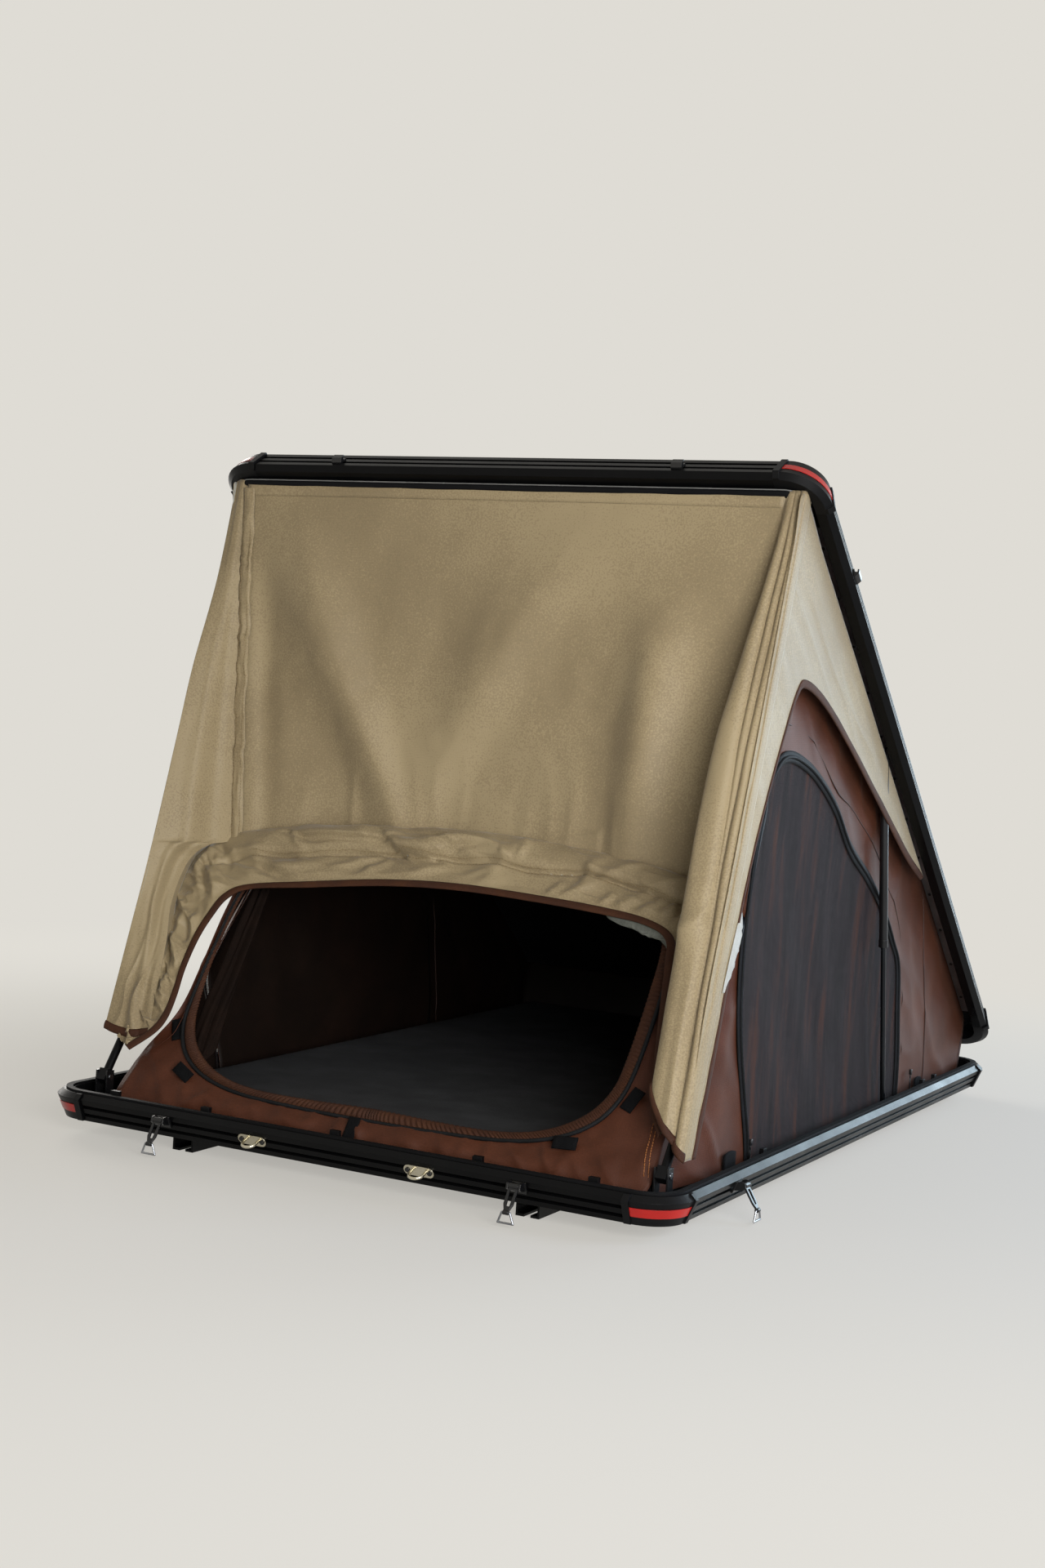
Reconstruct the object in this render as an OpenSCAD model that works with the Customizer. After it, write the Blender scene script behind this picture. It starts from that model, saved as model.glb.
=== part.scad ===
// Hard-shell wedge roof top tent, shown open. Millimetres, +Z up.
// The origin is under the middle of the tray, where the mounting rails rest.
// Front, with the door, is -Y. The lid hinges along the rear edge.

/* [Tray] */
// width of the tray across the tent
base_w = 1450; // [1200:10:1800]
// length of the tray from front to rear
base_d = 2100; // [1900:10:2400]
// height of the mounting rails under the tray
foot_h = 36; // [24:1:60]
// height of the tray rails
rail_h = 57; // [50:1:80]
// how far the outer face of a rail leans in at its plain edge
undercut = 20; // [10:1:24]
// width of the sloped edge along the parting line
slope_w = 12; // [6:1:14]
// height of that sloped edge
slope_h = 11; // [6:1:14]
// distance from the outermost edge to the inner wall of a rail
wall_n = 34; // [30:1:40]
// distance from the outermost edge to the end of the panel flanges
flange_n = 60; // [50:1:80]
// thickness of the panel flanges
flange_t = 3; // [2:0.5:5]
// thickness of the floor and roof panels
panel_t = 18; // [12:1:25]
// outer radius of the corner caps in plan
corner_r = 90; // [70:1:120]
// length of the collar at each end of a corner cap
collar_l = 14; // [8:1:24]
// distance between the centrelines of the mounting rails
foot_spacing = 800; // [600:10:1000]

/* [Lid] */
// height of the lid rails
lid_h = 63; // [50:1:90]
// gap along the parting line when the lid is shut
shut_gap = 5; // [4:0.5:8]
// opening angle of the lid
open_angle = 39.2; // [30:0.1:45]
// distance of the hinge axis behind the rear edge
hinge_back = 38; // [34:1:50]

/* [Hinges and latches] */
// spacing of the three hinges
hinge_spacing = 480; // [300:10:560]
// radius of the hinge pins
hinge_pin_r = 5; // [4:0.5:7]
// distance of the front latches from the centre
latch_x = 408; // [250:1:500]
// distance of the side latches from the centre, towards the front
latch_y = 735; // [500:1:800]
// length of a latch lever between its pins
lever_l = 52; // [40:1:56]
// angle at which a loose lever hangs off the rail
lever_swing = 32; // [0:1:45]
// length of the wire bail below the lever
bail_l = 20; // [16:1:24]
// distance of the ladder eyes from the centre
ladder_x = 192; // [150:1:240]
// running clearance of every pin in its bore
fit = 0.06; // [0.02:0.01:0.1]

/* [Hoop] */
// distance of the hoop legs inside the tray's outer edge
hoop_in = 75; // [72:1:120]
// distance of the hoop pivot behind the front edge
hoop_back = 117; // [112:1:140]
// height of the hoop pivot
hoop_z = 113; // [104:1:116]
// angle of the open hoop above level
hoop_angle = 56; // [45:1:65]
// length of the straight leg
leg_l = 524; // [420:4:560]
// radius of the hoop corners
elbow_r = 80; // [60:5:120]
// slope of the crossbar where it meets a corner
bar_slope = 12; // [6:1:16]
// radius of the hoop tube
tube_r = 9; // [7:0.5:11]

/* [Gas struts] */
// distance of the strut axes inside the tray's outer edge
strut_in = 50; // [48:1:54]
// position of the lower strut pivot behind the centre
strut_y = 298; // [200:1:400]
// height of the lower strut pivot
strut_z = 72; // [70:1:90]
// distance of the upper strut pivot from the hinge axis
strut_reach = 1268; // [1100:1:1400]
// radius of the strut cylinder
cyl_r = 10; // [8:0.5:12]
// radius of the strut rod
rod_r = 6; // [4:0.5:7]

/* [Cloth] */
// thickness of the cloth walls
cloth_t = 3; // [2:0.5:5]
// width of the front wall on each side of the door
door_side = 135; // [100:5:250]
// depth of the folds in the flysheet
fold_d = 12; // [0:1:20]
// thickness of the mattress
mattress_t = 45; // [30:1:48]

/* [Hidden] */

base_z = foot_h;
part_z = base_z + rail_h;
lid_z = part_z + shut_gap;
hinge_y = base_d / 2 + hinge_back;
hinge_z = part_z + shut_gap / 2;
cap_l = corner_r + collar_l;
ledge_h = 2 * flange_t + panel_t;
front_l = base_w - 2 * cap_l;
side_l = base_d - 2 * cap_l;
widest_z = rail_h - slope_h;
inner_y = base_d / 2 - wall_n;
inner_x = base_w / 2 - wall_n;
hoop_y = -base_d / 2 + hoop_back;
hoop_x = base_w / 2 - hoop_in;
strut_x = base_w / 2 - strut_in;
door_w = hoop_x - door_side;
wall_x = hoop_x + 2;
fly_x = inner_x - 2.8;
kx = hoop_x / 650;
ky = base_d / 2100;
cr = $preview ? 48 : 96;
$fn = cr;

// corner points of the sloping outer faces, as distance inward and height
foot_a = [undercut, 0];
foot_b = [0, widest_z];
roof_a = [0, slope_h];
roof_b = [undercut, lid_h];

// a point on a sloping face: share of its length, then depth into the rail
function on(a, b, t, d) = a + (b - a) * t + d * [(b - a)[1], -(b - a)[0]] / norm(b - a);
// outline of one accessory slot
function slot(a, b, t) = [on(a, b, t - 0.08, 0), on(a, b, t - 0.08, 2.5), on(a, b, t - 0.12, 2.5),
    on(a, b, t - 0.12, 6.5), on(a, b, t + 0.12, 6.5), on(a, b, t + 0.12, 2.5),
    on(a, b, t + 0.08, 2.5), on(a, b, t + 0.08, 0)];

base_section = concat([foot_a], slot(foot_a, foot_b, 0.3), slot(foot_a, foot_b, 0.68),
    [foot_b, [slope_w, rail_h], [wall_n, rail_h], [wall_n, ledge_h], [flange_n, ledge_h],
    [flange_n, ledge_h - flange_t], [wall_n, ledge_h - flange_t], [wall_n, flange_t],
    [flange_n, flange_t], [flange_n, 0]]);
lid_section = concat([[slope_w, 0], roof_a], slot(roof_a, roof_b, 0.3), slot(roof_a, roof_b, 0.68),
    [roof_b, [flange_n, lid_h], [flange_n, lid_h - flange_t], [wall_n, lid_h - flange_t],
    [wall_n, lid_h - ledge_h + flange_t], [flange_n, lid_h - ledge_h + flange_t],
    [flange_n, lid_h - ledge_h], [wall_n, lid_h - ledge_h], [wall_n, 0]]);

// lays an outline along X, with its first axis pointing to +Y and its second up
module along_x(l) {
    rotate([90, 0, 90]) linear_extrude(l, center = true) children();
}

// puts what is drawn for the front edge on the edge at that turn
module at_edge(turn, half) {
    rotate([0, 0, turn]) translate([0, -half, 0]) children();
}

// carries the lid from shut to open
module lid_open() {
    translate([0, hinge_y, hinge_z]) rotate([-open_angle, 0, 0]) translate([0, -hinge_y, -hinge_z])
        children();
}

module both_sides() {
    children();
    mirror([1, 0, 0]) children();
}

module four_corners() {
    both_sides() {
        children();
        mirror([0, 1, 0]) children();
    }
}

module base_rail(l) {
    translate([0, 0, base_z]) difference() {
        along_x(l) polygon(base_section);
        along_x(l + 2) translate([wall_n - 17, ledge_h + 3]) square([14, rail_h - ledge_h - 6]);
        along_x(l + 2) translate([wall_n - 10, flange_t]) square([7, panel_t]);
    }
}

module lid_rail(l) {
    translate([0, 0, lid_z]) difference() {
        along_x(l) polygon(lid_section);
        along_x(l + 2) translate([wall_n - 17, 4]) square([14, lid_h - ledge_h - 7]);
        along_x(l + 2) translate([wall_n - 10, lid_h - ledge_h + flange_t]) square([7, panel_t]);
    }
}

module base_rail_front() color("#1c1c1e") at_edge(0, base_d / 2) base_rail(front_l);
module base_rail_rear() color("#1c1c1e") at_edge(180, base_d / 2) base_rail(front_l);
module base_rail_left() color("#1c1c1e") at_edge(-90, base_w / 2) base_rail(side_l);
module base_rail_right() color("#1c1c1e") at_edge(90, base_w / 2) base_rail(side_l);
module lid_rail_front() color("#1c1c1e") lid_open() at_edge(0, base_d / 2) lid_rail(front_l);
module lid_rail_rear() color("#1c1c1e") lid_open() at_edge(180, base_d / 2) lid_rail(front_l);
module lid_rail_left() color("#1c1c1e") lid_open() at_edge(-90, base_w / 2) lid_rail(side_l);
module lid_rail_right() color("#1c1c1e") lid_open() at_edge(90, base_w / 2) lid_rail(side_l);

// turns a rail outline round the corner and adds a collar at each end
module cap(arc, collar) {
    translate([base_w / 2 - corner_r, base_d / 2 - corner_r, 0]) {
        rotate_extrude(angle = 90) polygon([for (p = arc) [corner_r - p[0], p[1]]]);
        rotate([90, 0, 0]) linear_extrude(collar_l) polygon([for (p = collar) [corner_r - p[0], p[1]]]);
        rotate([90, 0, -90]) mirror([1, 0, 0]) linear_extrude(collar_l)
            polygon([for (p = collar) [corner_r - p[0], p[1]]]);
    }
}

module base_caps() color("#202022") translate([0, 0, base_z]) four_corners() cap(
    [[undercut - 1.5, 0], [-1.5, widest_z], [slope_w - 1, rail_h], [wall_n, rail_h], [wall_n, 0]],
    [[undercut - 5.5, 0], [-5.5, widest_z], [slope_w - 6, rail_h], [wall_n, rail_h], [wall_n, 0]]);

module lid_caps() color("#202022") lid_open() translate([0, 0, lid_z]) four_corners() cap(
    [[slope_w - 1, 0], [-1.5, slope_h], [undercut - 1.5, lid_h], [wall_n, lid_h], [wall_n, 0]],
    [[slope_w - 6, 0], [-5.5, slope_h], [undercut - 5.5, lid_h], [wall_n, lid_h], [wall_n, 0]]);

// red strip on the sloping face of a corner cap
module stripe(a, b, t0, t1) {
    translate([base_w / 2 - corner_r, base_d / 2 - corner_r, 0]) rotate_extrude(angle = 90)
        polygon([for (p = [on(a, b, t0, 0), on(a, b, t1, 0), on(a, b, t1, -1.2), on(a, b, t0, -1.2)])
            [corner_r - p[0] + 1.5, p[1]]]);
}

module base_reflectors() color("#b5201c") translate([0, 0, base_z]) four_corners()
    stripe(foot_a, foot_b, 0.36, 0.74);
module lid_reflectors() color("#b5201c") lid_open() translate([0, 0, lid_z]) four_corners()
    stripe(roof_a, roof_b, 0.3, 0.62);

// panel with its corners cut clear of the corner caps
module panel(n, cut) {
    x = base_w / 2 - n;
    y = base_d / 2 - n;
    linear_extrude(panel_t) polygon([[x - cut, -y], [x, -y + cut], [x, y - cut], [x - cut, y],
        [-x + cut, y], [-x, y - cut], [-x, -y + cut], [-x + cut, -y]]);
}

module floor_panel() color("#2a2b2d") translate([0, 0, base_z + flange_t]) panel(wall_n + 2, 43);
module roof_panel() color("#1f2022") lid_open()
    translate([0, 0, lid_z + lid_h - flange_t - panel_t]) panel(wall_n + 2, 43);

// rubber seal along the top of the tray
module base_seal() color("#101010") translate([0, 0, part_z]) {
    h = shut_gap - 0.4;
    four_corners() {
        translate([base_w / 2 - corner_r, base_d / 2 - corner_r, 0]) rotate_extrude(angle = 90)
            translate([corner_r - 30, 0]) square([14, h]);
        translate([base_w / 2 - 30, 0, 0]) cube([14, base_d / 2 - corner_r, h]);
        translate([0, base_d / 2 - 30, 0]) cube([base_w / 2 - corner_r, 14, h]);
    }
}

// slotted channel that bolts to a roof rack
module mounting_rail() color("#19191a") {
    h = base_z + flange_t;
    rotate([90, 0, 0]) linear_extrude(base_d - 2 * flange_n - 8, center = true)
        polygon([[-25, 0], [-7, 0], [-7, 5], [-21, 5], [-21, h - 4], [21, h - 4], [21, 5], [7, 5],
            [7, 0], [25, 0], [25, h], [-25, h]]);
}

module mounting_rail_left() translate([-foot_spacing / 2, 0, 0]) mounting_rail();
module mounting_rail_right() translate([foot_spacing / 2, 0, 0]) mounting_rail();

// hinges: the outlines lie in the rail section's plane, outward is negative
knuckle = [-hinge_back, hinge_z - base_z];
lid_knuckle = [-hinge_back, hinge_z - lid_z];

module three_hinges() {
    for (i = [-1, 0, 1]) translate([i * hinge_spacing, 0, 0]) children();
}

module hinge_base_leaf() difference() {
    union() {
        along_x(60) polygon([on(foot_a, foot_b, 0.12, 0), on(foot_a, foot_b, 0.95, 0),
            on(foot_a, foot_b, 0.95, -5), on(foot_a, foot_b, 0.12, -5)]);
        for (s = [-1, 1]) translate([s * 23.25, 0, 0]) along_x(13.5) {
            polygon([on(foot_a, foot_b, 0.5, -3), on(foot_a, foot_b, 0.95, -3), knuckle + [6, 8],
                knuckle + [-6, -8]]);
            translate(knuckle) circle(10);
        }
    }
    along_x(80) translate(knuckle) circle(hinge_pin_r + fit);
}

module hinge_base_leaves() color("#1b1b1d") translate([0, 0, base_z]) at_edge(180, base_d / 2)
    three_hinges() hinge_base_leaf();

module hinge_lid_leaf() difference() {
    union() {
        along_x(60) polygon([on(roof_a, roof_b, 0.12, 0), on(roof_a, roof_b, 0.9, 0),
            on(roof_a, roof_b, 0.9, -5), on(roof_a, roof_b, 0.12, -5)]);
        along_x(32) {
            polygon([on(roof_a, roof_b, 0.12, -3), on(roof_a, roof_b, 0.6, -3), knuckle_top(),
                lid_knuckle + [4, -9]]);
            translate(lid_knuckle) circle(10);
        }
    }
    along_x(80) translate(lid_knuckle) circle(hinge_pin_r + fit);
}
function knuckle_top() = lid_knuckle + [-7, 7];

module hinge_lid_leaves() color("#1b1b1d") lid_open() translate([0, 0, lid_z])
    at_edge(180, base_d / 2) three_hinges() hinge_lid_leaf();

module hinge_pins() color("#8d9093") translate([0, 0, base_z]) at_edge(180, base_d / 2)
    three_hinges() {
        along_x(60) translate(knuckle) circle(hinge_pin_r);
        for (s = [-1, 1]) translate([s * 31.5, 0, 0]) along_x(3) translate(knuckle) circle(8);
    }

// stainless loop on an oblong plate, lying on the front rail
module ladder_face() {
    p = on(foot_a, foot_b, 0.62, 0);
    translate([0, -base_d / 2 + p[0], base_z + p[1]])
        rotate([90 + atan2(undercut, widest_z), 0, 0]) children();
}

module ladder_eyes() color("#b9bbbd") both_sides() translate([ladder_x, 0, 0]) ladder_face() {
    linear_extrude(3) {
        square([44, 22], center = true);
        translate([-22, 0]) circle(11);
        translate([22, 0]) circle(11);
    }
    for (s = [-1, 1]) translate([s * 15, 0, 2.5]) cylinder(r = 3, h = 9);
    translate([0, 0, 11.5]) rotate([90, 0, 0]) rotate_extrude(angle = 180) translate([15, 0]) circle(3);
}

module ladder_eye_screws() color("#3b3c3e") both_sides() translate([ladder_x, 0, 0]) ladder_face()
    for (s = [-1, 1]) translate([s * 24.5, 0, 3]) cylinder(r = 5, h = 2.2);

// latches: the pin stands off the rail
latch_pin = [-14, 38];

module latch_places() {
    for (s = [-1, 1]) at_edge(0, base_d / 2) translate([s * latch_x, 0, 0]) children();
    at_edge(90, base_w / 2) translate([-latch_y, 0, 0]) children();
    at_edge(-90, base_w / 2) translate([latch_y, 0, 0]) children();
}

module latch_bracket() {
    along_x(34) polygon([on(foot_a, foot_b, 0.5, 0), on(foot_a, foot_b, 0.98, 0),
        on(foot_a, foot_b, 0.98, -4), on(foot_a, foot_b, 0.5, -4)]);
    for (s = [-1, 1]) translate([s * 13, 0, 0]) along_x(4)
        polygon([on(foot_a, foot_b, 0.6, -2), on(foot_a, foot_b, 0.98, -2), [-9, 46], [-18, 44],
            [-20, 34], [-14, 30]]);
    along_x(30) translate(latch_pin) circle(3);
}

module latch_brackets() color("#151516") translate([0, 0, base_z]) latch_places() latch_bracket();

// lever and bail, drawn from the lever's pin and hanging off the rail
module latch_lever() translate([0, latch_pin[0], base_z + latch_pin[1]]) rotate([-lever_swing, 0, 0])
    difference() {
        union() {
            along_x(20) circle(6);
            rotate([90, 0, 0]) linear_extrude(4, center = true) polygon([[-10, 0], [10, 0],
                [10, 16 - lever_l], [5.5, 4 - lever_l], [5.5, -lever_l], [-5.5, -lever_l],
                [-5.5, 4 - lever_l], [-10, 16 - lever_l]]);
            along_x(11) translate([0, -lever_l]) circle(4.5);
        }
        along_x(40) circle(3 + fit);
        along_x(40) translate([0, -lever_l]) circle(2 + fit);
        rotate([90, 0, 0]) linear_extrude(12, center = true) polygon([[-5.5, -9], [5.5, -9],
            [3.5, 12 - lever_l], [-3.5, 12 - lever_l]]);
    }

module wire(a, b) {
    v = b - a;
    translate(a) rotate([0, acos(v[2] / norm(v)), atan2(v[1], v[0])]) cylinder(r = 2, h = norm(v));
}

module latch_bail() translate([0, latch_pin[0] - lever_l * sin(lever_swing),
    base_z + latch_pin[1] - lever_l * cos(lever_swing)]) {
    wire([-8.5, 0, 0], [8.5, 0, 0]);
    for (s = [-1, 1]) {
        wire([s * 8.5, 0, 0], [s * 16, 0, -bail_l]);
        translate([s * 8.5, 0, 0]) sphere(2);
        translate([s * 16, 0, -bail_l]) sphere(2);
    }
    wire([-16, 0, -bail_l], [16, 0, -bail_l]);
}

module latch_levers_front_left() color("#2b2c2e") at_edge(0, base_d / 2)
    translate([-latch_x, 0, 0]) latch_lever();
module latch_levers_front_right() color("#2b2c2e") at_edge(0, base_d / 2)
    translate([latch_x, 0, 0]) latch_lever();
module latch_levers_right() color("#2b2c2e") at_edge(90, base_w / 2)
    translate([-latch_y, 0, 0]) latch_lever();
module latch_levers_left() color("#2b2c2e") at_edge(-90, base_w / 2)
    translate([latch_y, 0, 0]) latch_lever();
module latch_bails_front_left() color("#8f9296") at_edge(0, base_d / 2)
    translate([-latch_x, 0, 0]) latch_bail();
module latch_bails_front_right() color("#8f9296") at_edge(0, base_d / 2)
    translate([latch_x, 0, 0]) latch_bail();
module latch_bails_right() color("#8f9296") at_edge(90, base_w / 2)
    translate([-latch_y, 0, 0]) latch_bail();
module latch_bails_left() color("#8f9296") at_edge(-90, base_w / 2)
    translate([latch_y, 0, 0]) latch_bail();

module lid_catches() color("#151516") lid_open() translate([0, 0, lid_z]) latch_places()
    along_x(24) polygon([on(roof_a, roof_b, 0.15, 0), on(roof_a, roof_b, 0.55, 0),
        on(roof_a, roof_b, 0.55, -4), on(roof_a, roof_b, 0.4, -4), on(roof_a, roof_b, 0.36, -9),
        on(roof_a, roof_b, 0.5, -11), on(roof_a, roof_b, 0.46, -14), on(roof_a, roof_b, 0.26, -12),
        on(roof_a, roof_b, 0.15, -4)]);

// front hoop, drawn flat with its legs along +Y, then raised about its pivot
module hoop_raised() {
    translate([0, hoop_y, hoop_z]) rotate([hoop_angle, 0, 0]) children();
}

bar_x = hoop_x - elbow_r + elbow_r * sin(bar_slope);
bar_y = leg_l + elbow_r * cos(bar_slope);
bar_r = bar_x / sin(bar_slope);
crown = bar_y + bar_r * (1 - cos(bar_slope));

module hoop_blocks() color("#17181a") hoop_raised() both_sides() translate([hoop_x, 0, 0])
    difference() {
        translate([-11, -13, -13]) cube([22, 26, 26]);
        rotate([0, 90, 0]) cylinder(r = 4 + fit, h = 40, center = true);
    }

module hoop_legs() color("#1a1b1d") hoop_raised() both_sides()
    translate([hoop_x, 13, 0]) rotate([-90, 0, 0]) cylinder(r = tube_r, h = leg_l - 13);

module hoop_elbows() color("#1a1b1d") hoop_raised() both_sides()
    translate([hoop_x - elbow_r, leg_l, 0])
        rotate_extrude(angle = 90 - bar_slope) translate([elbow_r, 0]) circle(tube_r);

module hoop_crossbar() color("#1a1b1d") hoop_raised()
    translate([0, bar_y - bar_r * cos(bar_slope), 0]) rotate([0, 0, 90 - bar_slope])
        rotate_extrude(angle = 2 * bar_slope, $fn = 900) translate([bar_r, 0]) circle(tube_r, $fn = 48);

module hoop_brackets() color("#17181a") both_sides() {
    z = base_z + ledge_h;
    translate([hoop_x - 16, hoop_y - 40, z]) cube([50, 60, 4]);
    difference() {
        for (s = [-1, 1]) translate([hoop_x + s * 13.15 - 1.75, hoop_y - 12, z + 3.9])
            cube([3.5, 24, hoop_z + 14 - z - 4]);
        translate([hoop_x, hoop_y, hoop_z]) rotate([0, 90, 0])
            cylinder(r = 4 + fit, h = 60, center = true);
    }
}

module hoop_pins() color("#8d9093") both_sides() translate([hoop_x, hoop_y, hoop_z])
    rotate([0, 90, 0]) {
        cylinder(r = 4, h = 29.8, center = true);
        for (s = [-1, 1]) translate([0, 0, s * 15.9]) cylinder(r = 6, h = 2, center = true);
    }

// gas struts, drawn along +Z from the lower pivot, then leaned to the upper one
lift = lid_z + 14 - hinge_z;
top_y = hinge_y - strut_reach * cos(open_angle) + lift * sin(open_angle);
top_z = hinge_z + strut_reach * sin(open_angle) + lift * cos(open_angle);
strut_l = norm([top_y - strut_y, top_z - strut_z]);
shut_l = norm([hinge_y - strut_reach - strut_y, hinge_z + lift - strut_z]);
strut_lean = atan2(strut_y - top_y, top_z - strut_z);
stroke = strut_l - shut_l;
cyl_start = stroke + 15;

module strut_place(side) {
    translate([side * strut_x, strut_y, strut_z]) rotate([strut_lean, 0, 0]) children();
}

module strut_rod() difference() {
    union() {
        rotate([0, 90, 0]) cylinder(r = 9, h = 10, center = true);
        translate([0, 0, 7.5]) cylinder(r = rod_r, h = cyl_start + 32.5);
    }
    rotate([0, 90, 0]) cylinder(r = 4 + fit, h = 40, center = true);
}

module strut_cylinder(side) {
    end = strut_l - 16;
    difference() {
        union() {
            translate([0, 0, cyl_start]) cylinder(r = cyl_r, h = end - cyl_start);
            translate([0, 0, cyl_start]) cylinder(r = cyl_r + 1, h = 18);
        }
        translate([0, 0, cyl_start - 1]) cylinder(r = rod_r + fit, h = end - cyl_start - 9);
    }
    translate([side * 6.3, 0, strut_l]) rotate([0, 90, 0]) cylinder(r = 9, h = 7, center = true);
    translate([side * 6.3 - 3.5, -7, end - 6]) cube([7, 14, strut_l - end + 6]);
}

module strut_rod_left() color("#2d2f31") strut_place(-1) strut_rod();
module strut_rod_right() color("#2d2f31") strut_place(1) strut_rod();
module strut_cylinder_left() color("#141516") strut_place(-1) strut_cylinder(-1);
module strut_cylinder_right() color("#141516") strut_place(1) strut_cylinder(1);

module strut_base_brackets() color("#1b1c1e") both_sides() {
    translate([inner_x - 4, strut_y - 22, base_z + ledge_h]) cube([4, 44, 30]);
    translate([strut_x - 8, strut_y, strut_z]) rotate([0, 90, 0])
        cylinder(r = 4, h = inner_x - strut_x + 6);
    translate([strut_x - 8, strut_y, strut_z]) rotate([0, 90, 0]) cylinder(r = 6.5, h = 2.6);
}

module strut_lid_brackets() color("#1b1c1e") lid_open() both_sides() {
    translate([inner_x - 4, hinge_y - strut_reach - 22, lid_z + 2]) cube([4, 44, 30]);
    translate([strut_x + 10.2, hinge_y - strut_reach, hinge_z + lift]) rotate([0, 90, 0])
        cylinder(r = 8, h = inner_x - strut_x - 12);
}

// strips that clamp the cloth under the lid
batten_z = lid_z + lid_h - ledge_h - 3;
module batten() translate([inner_x - 35.5, -base_d / 2 + 180, batten_z])
    cube([33.5, base_d - 300, 3]);
module lid_battens() color("#9a9da0") lid_open() both_sides() batten();
module batten_screws() color("#1b1c1e") lid_open() both_sides() for (i = [0 : 11])
    translate([inner_x - 26, -base_d / 2 + 240 + i * 152, batten_z - 1.6]) cylinder(r = 4, h = 1.6);

// buckles that hold the hem of the inner tent
module hem_buckles() color("#131314") {
    for (x = [-0.386, -0.228, -0.014, 0.207, 0.376]) translate([x * base_w - 10, 0.4 - inner_y, 78])
        cube([20, 11, 27]);
    both_sides() for (y = [-0.248, 0.267, 0.314]) translate([inner_x - 9.4, y * base_d, 78])
        cube([9, 18, 24]);
}

// solid between two grids of points, one for each face of a cloth
function cells(r, c) = [for (j = [0 : r - 2], i = [0 : c - 2]) [j * c + i, j * c + i + 1,
    (j + 1) * c + i + 1, (j + 1) * c + i]];
function moved(rows, v) = [for (w = rows) [for (p = w) p + v]];
module cloth(rows, rear) {
    r = len(rows);
    c = len(rows[0]);
    n = r * c;
    pts = concat([for (w = rows, p = w) p], [for (w = rear, p = w) p]);
    q = cells(r, c);
    ends = concat([for (i = [0 : c - 2]) [i + 1, i, n + i, n + i + 1]],
        [for (i = [0 : c - 2]) let(k = (r - 1) * c + i) [k, k + 1, n + k + 1, n + k]],
        [for (j = [0 : r - 2]) let(k = j * c) [k, k + c, n + k + c, n + k]],
        [for (j = [0 : r - 2]) let(k = j * c + c - 1) [k + c, k, n + k, n + k + c]]);
    fronts = [for (f = q) each [[f[0], f[1], f[2]], [f[0], f[2], f[3]]]];
    backs = [for (f = q) each [[f[2] + n, f[1] + n, f[0] + n], [f[3] + n, f[2] + n, f[0] + n]]];
    sides = [for (f = ends) each [[f[0], f[1], f[2]], [f[0], f[2], f[3]]]];
    polyhedron(pts, concat(fronts, backs, sides), 4);
}

// mattress with a soft crown
function edge(t) = 1 - pow(abs(2 * t - 1), 8);
module mattress() color("#3c3d40") {
    x = hoop_x - 25;
    y0 = hoop_y + 30;
    y1 = inner_y - 36;
    z = base_z + flange_t + panel_t;
    n = 16;
    top = [for (j = [0 : n]) [for (i = [0 : n]) [-x + 2 * x * i / n, y0 + (y1 - y0) * j / n,
        z + mattress_t - 7 + 7 * edge(i / n) * edge(j / n)]]];
    flat = [for (w = top) [for (p = w) [p[0], p[1], z]]];
    c = n + 1;
    m = c * c;
    q = cells(c, c);
    polyhedron(concat([for (w = top, p = w) p], [for (w = flat, p = w) p]),
        concat([for (f = q) each [[f[2], f[1], f[0]], [f[3], f[2], f[0]]]],
        [for (f = q) each [[f[0] + m, f[1] + m, f[2] + m], [f[0] + m, f[2] + m, f[3] + m]]],
        [for (i = [0 : n - 1]) each [[i, i + 1, m + i + 1], [i, m + i + 1, m + i]]],
        [for (i = [0 : n - 1]) let(k = n * c + i) each [[k + 1, k, m + k], [k + 1, m + k, m + k + 1]]],
        [for (j = [0 : n - 1]) let(k = j * c) each [[k + c, k, m + k], [k + c, m + k, m + k + c]]],
        [for (j = [0 : n - 1]) let(k = j * c + n) each [[k, k + c, m + k + c], [k, m + k + c, m + k]]]), 4);
}

// inner tent: front wall under the hoop, with the door opening
function mirrored(p) = concat(p, [for (i = [len(p) - 1 : -1 : 0]) if (p[i][0] > 0) [-p[i][0], p[i][1]]]);
door = mirrored([[0, 16], [0.58 * door_w, 19], [door_w - 120, 40], [door_w - 48, 82],
    [door_w - 10, 136], [door_w, 209], [door_w - 4, leg_l - 40], [door_w - 35, leg_l + 30],
    [door_w - 120, crown - 75], [0.43 * door_w, crown - 54], [0, crown - 48]]);
wall_top = mirrored([[0, crown - 4], [0.46 * hoop_x, crown - 18], [0.83 * hoop_x, crown - 52],
    [hoop_x - 40, leg_l + 60], [wall_x, leg_l], [wall_x, 32], [wall_x - 24, 20], [wall_x - 24, -59]]);

module tent_front() color("#4f2d20") hoop_raised() translate([0, 0, -9.2 - cloth_t]) difference() {
    linear_extrude(cloth_t) polygon(wall_top);
    translate([0, 0, -1]) linear_extrude(cloth_t + 2) polygon(door);
}

// a point beside the hoop, as length along it and distance off it
function by_hoop(s, t) = [hoop_y + s * cos(hoop_angle) - t * sin(hoop_angle),
    hoop_z + s * sin(hoop_angle) + t * cos(hoop_angle)];
// a point under the lid, as distance from the hinge and height over the lid's lower edge
function by_lid(r, v) = [hinge_y - r * cos(open_angle) + (v + shut_gap / 2) * sin(open_angle),
    hinge_z + r * sin(open_angle) + (v + shut_gap / 2) * cos(open_angle)];

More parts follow.
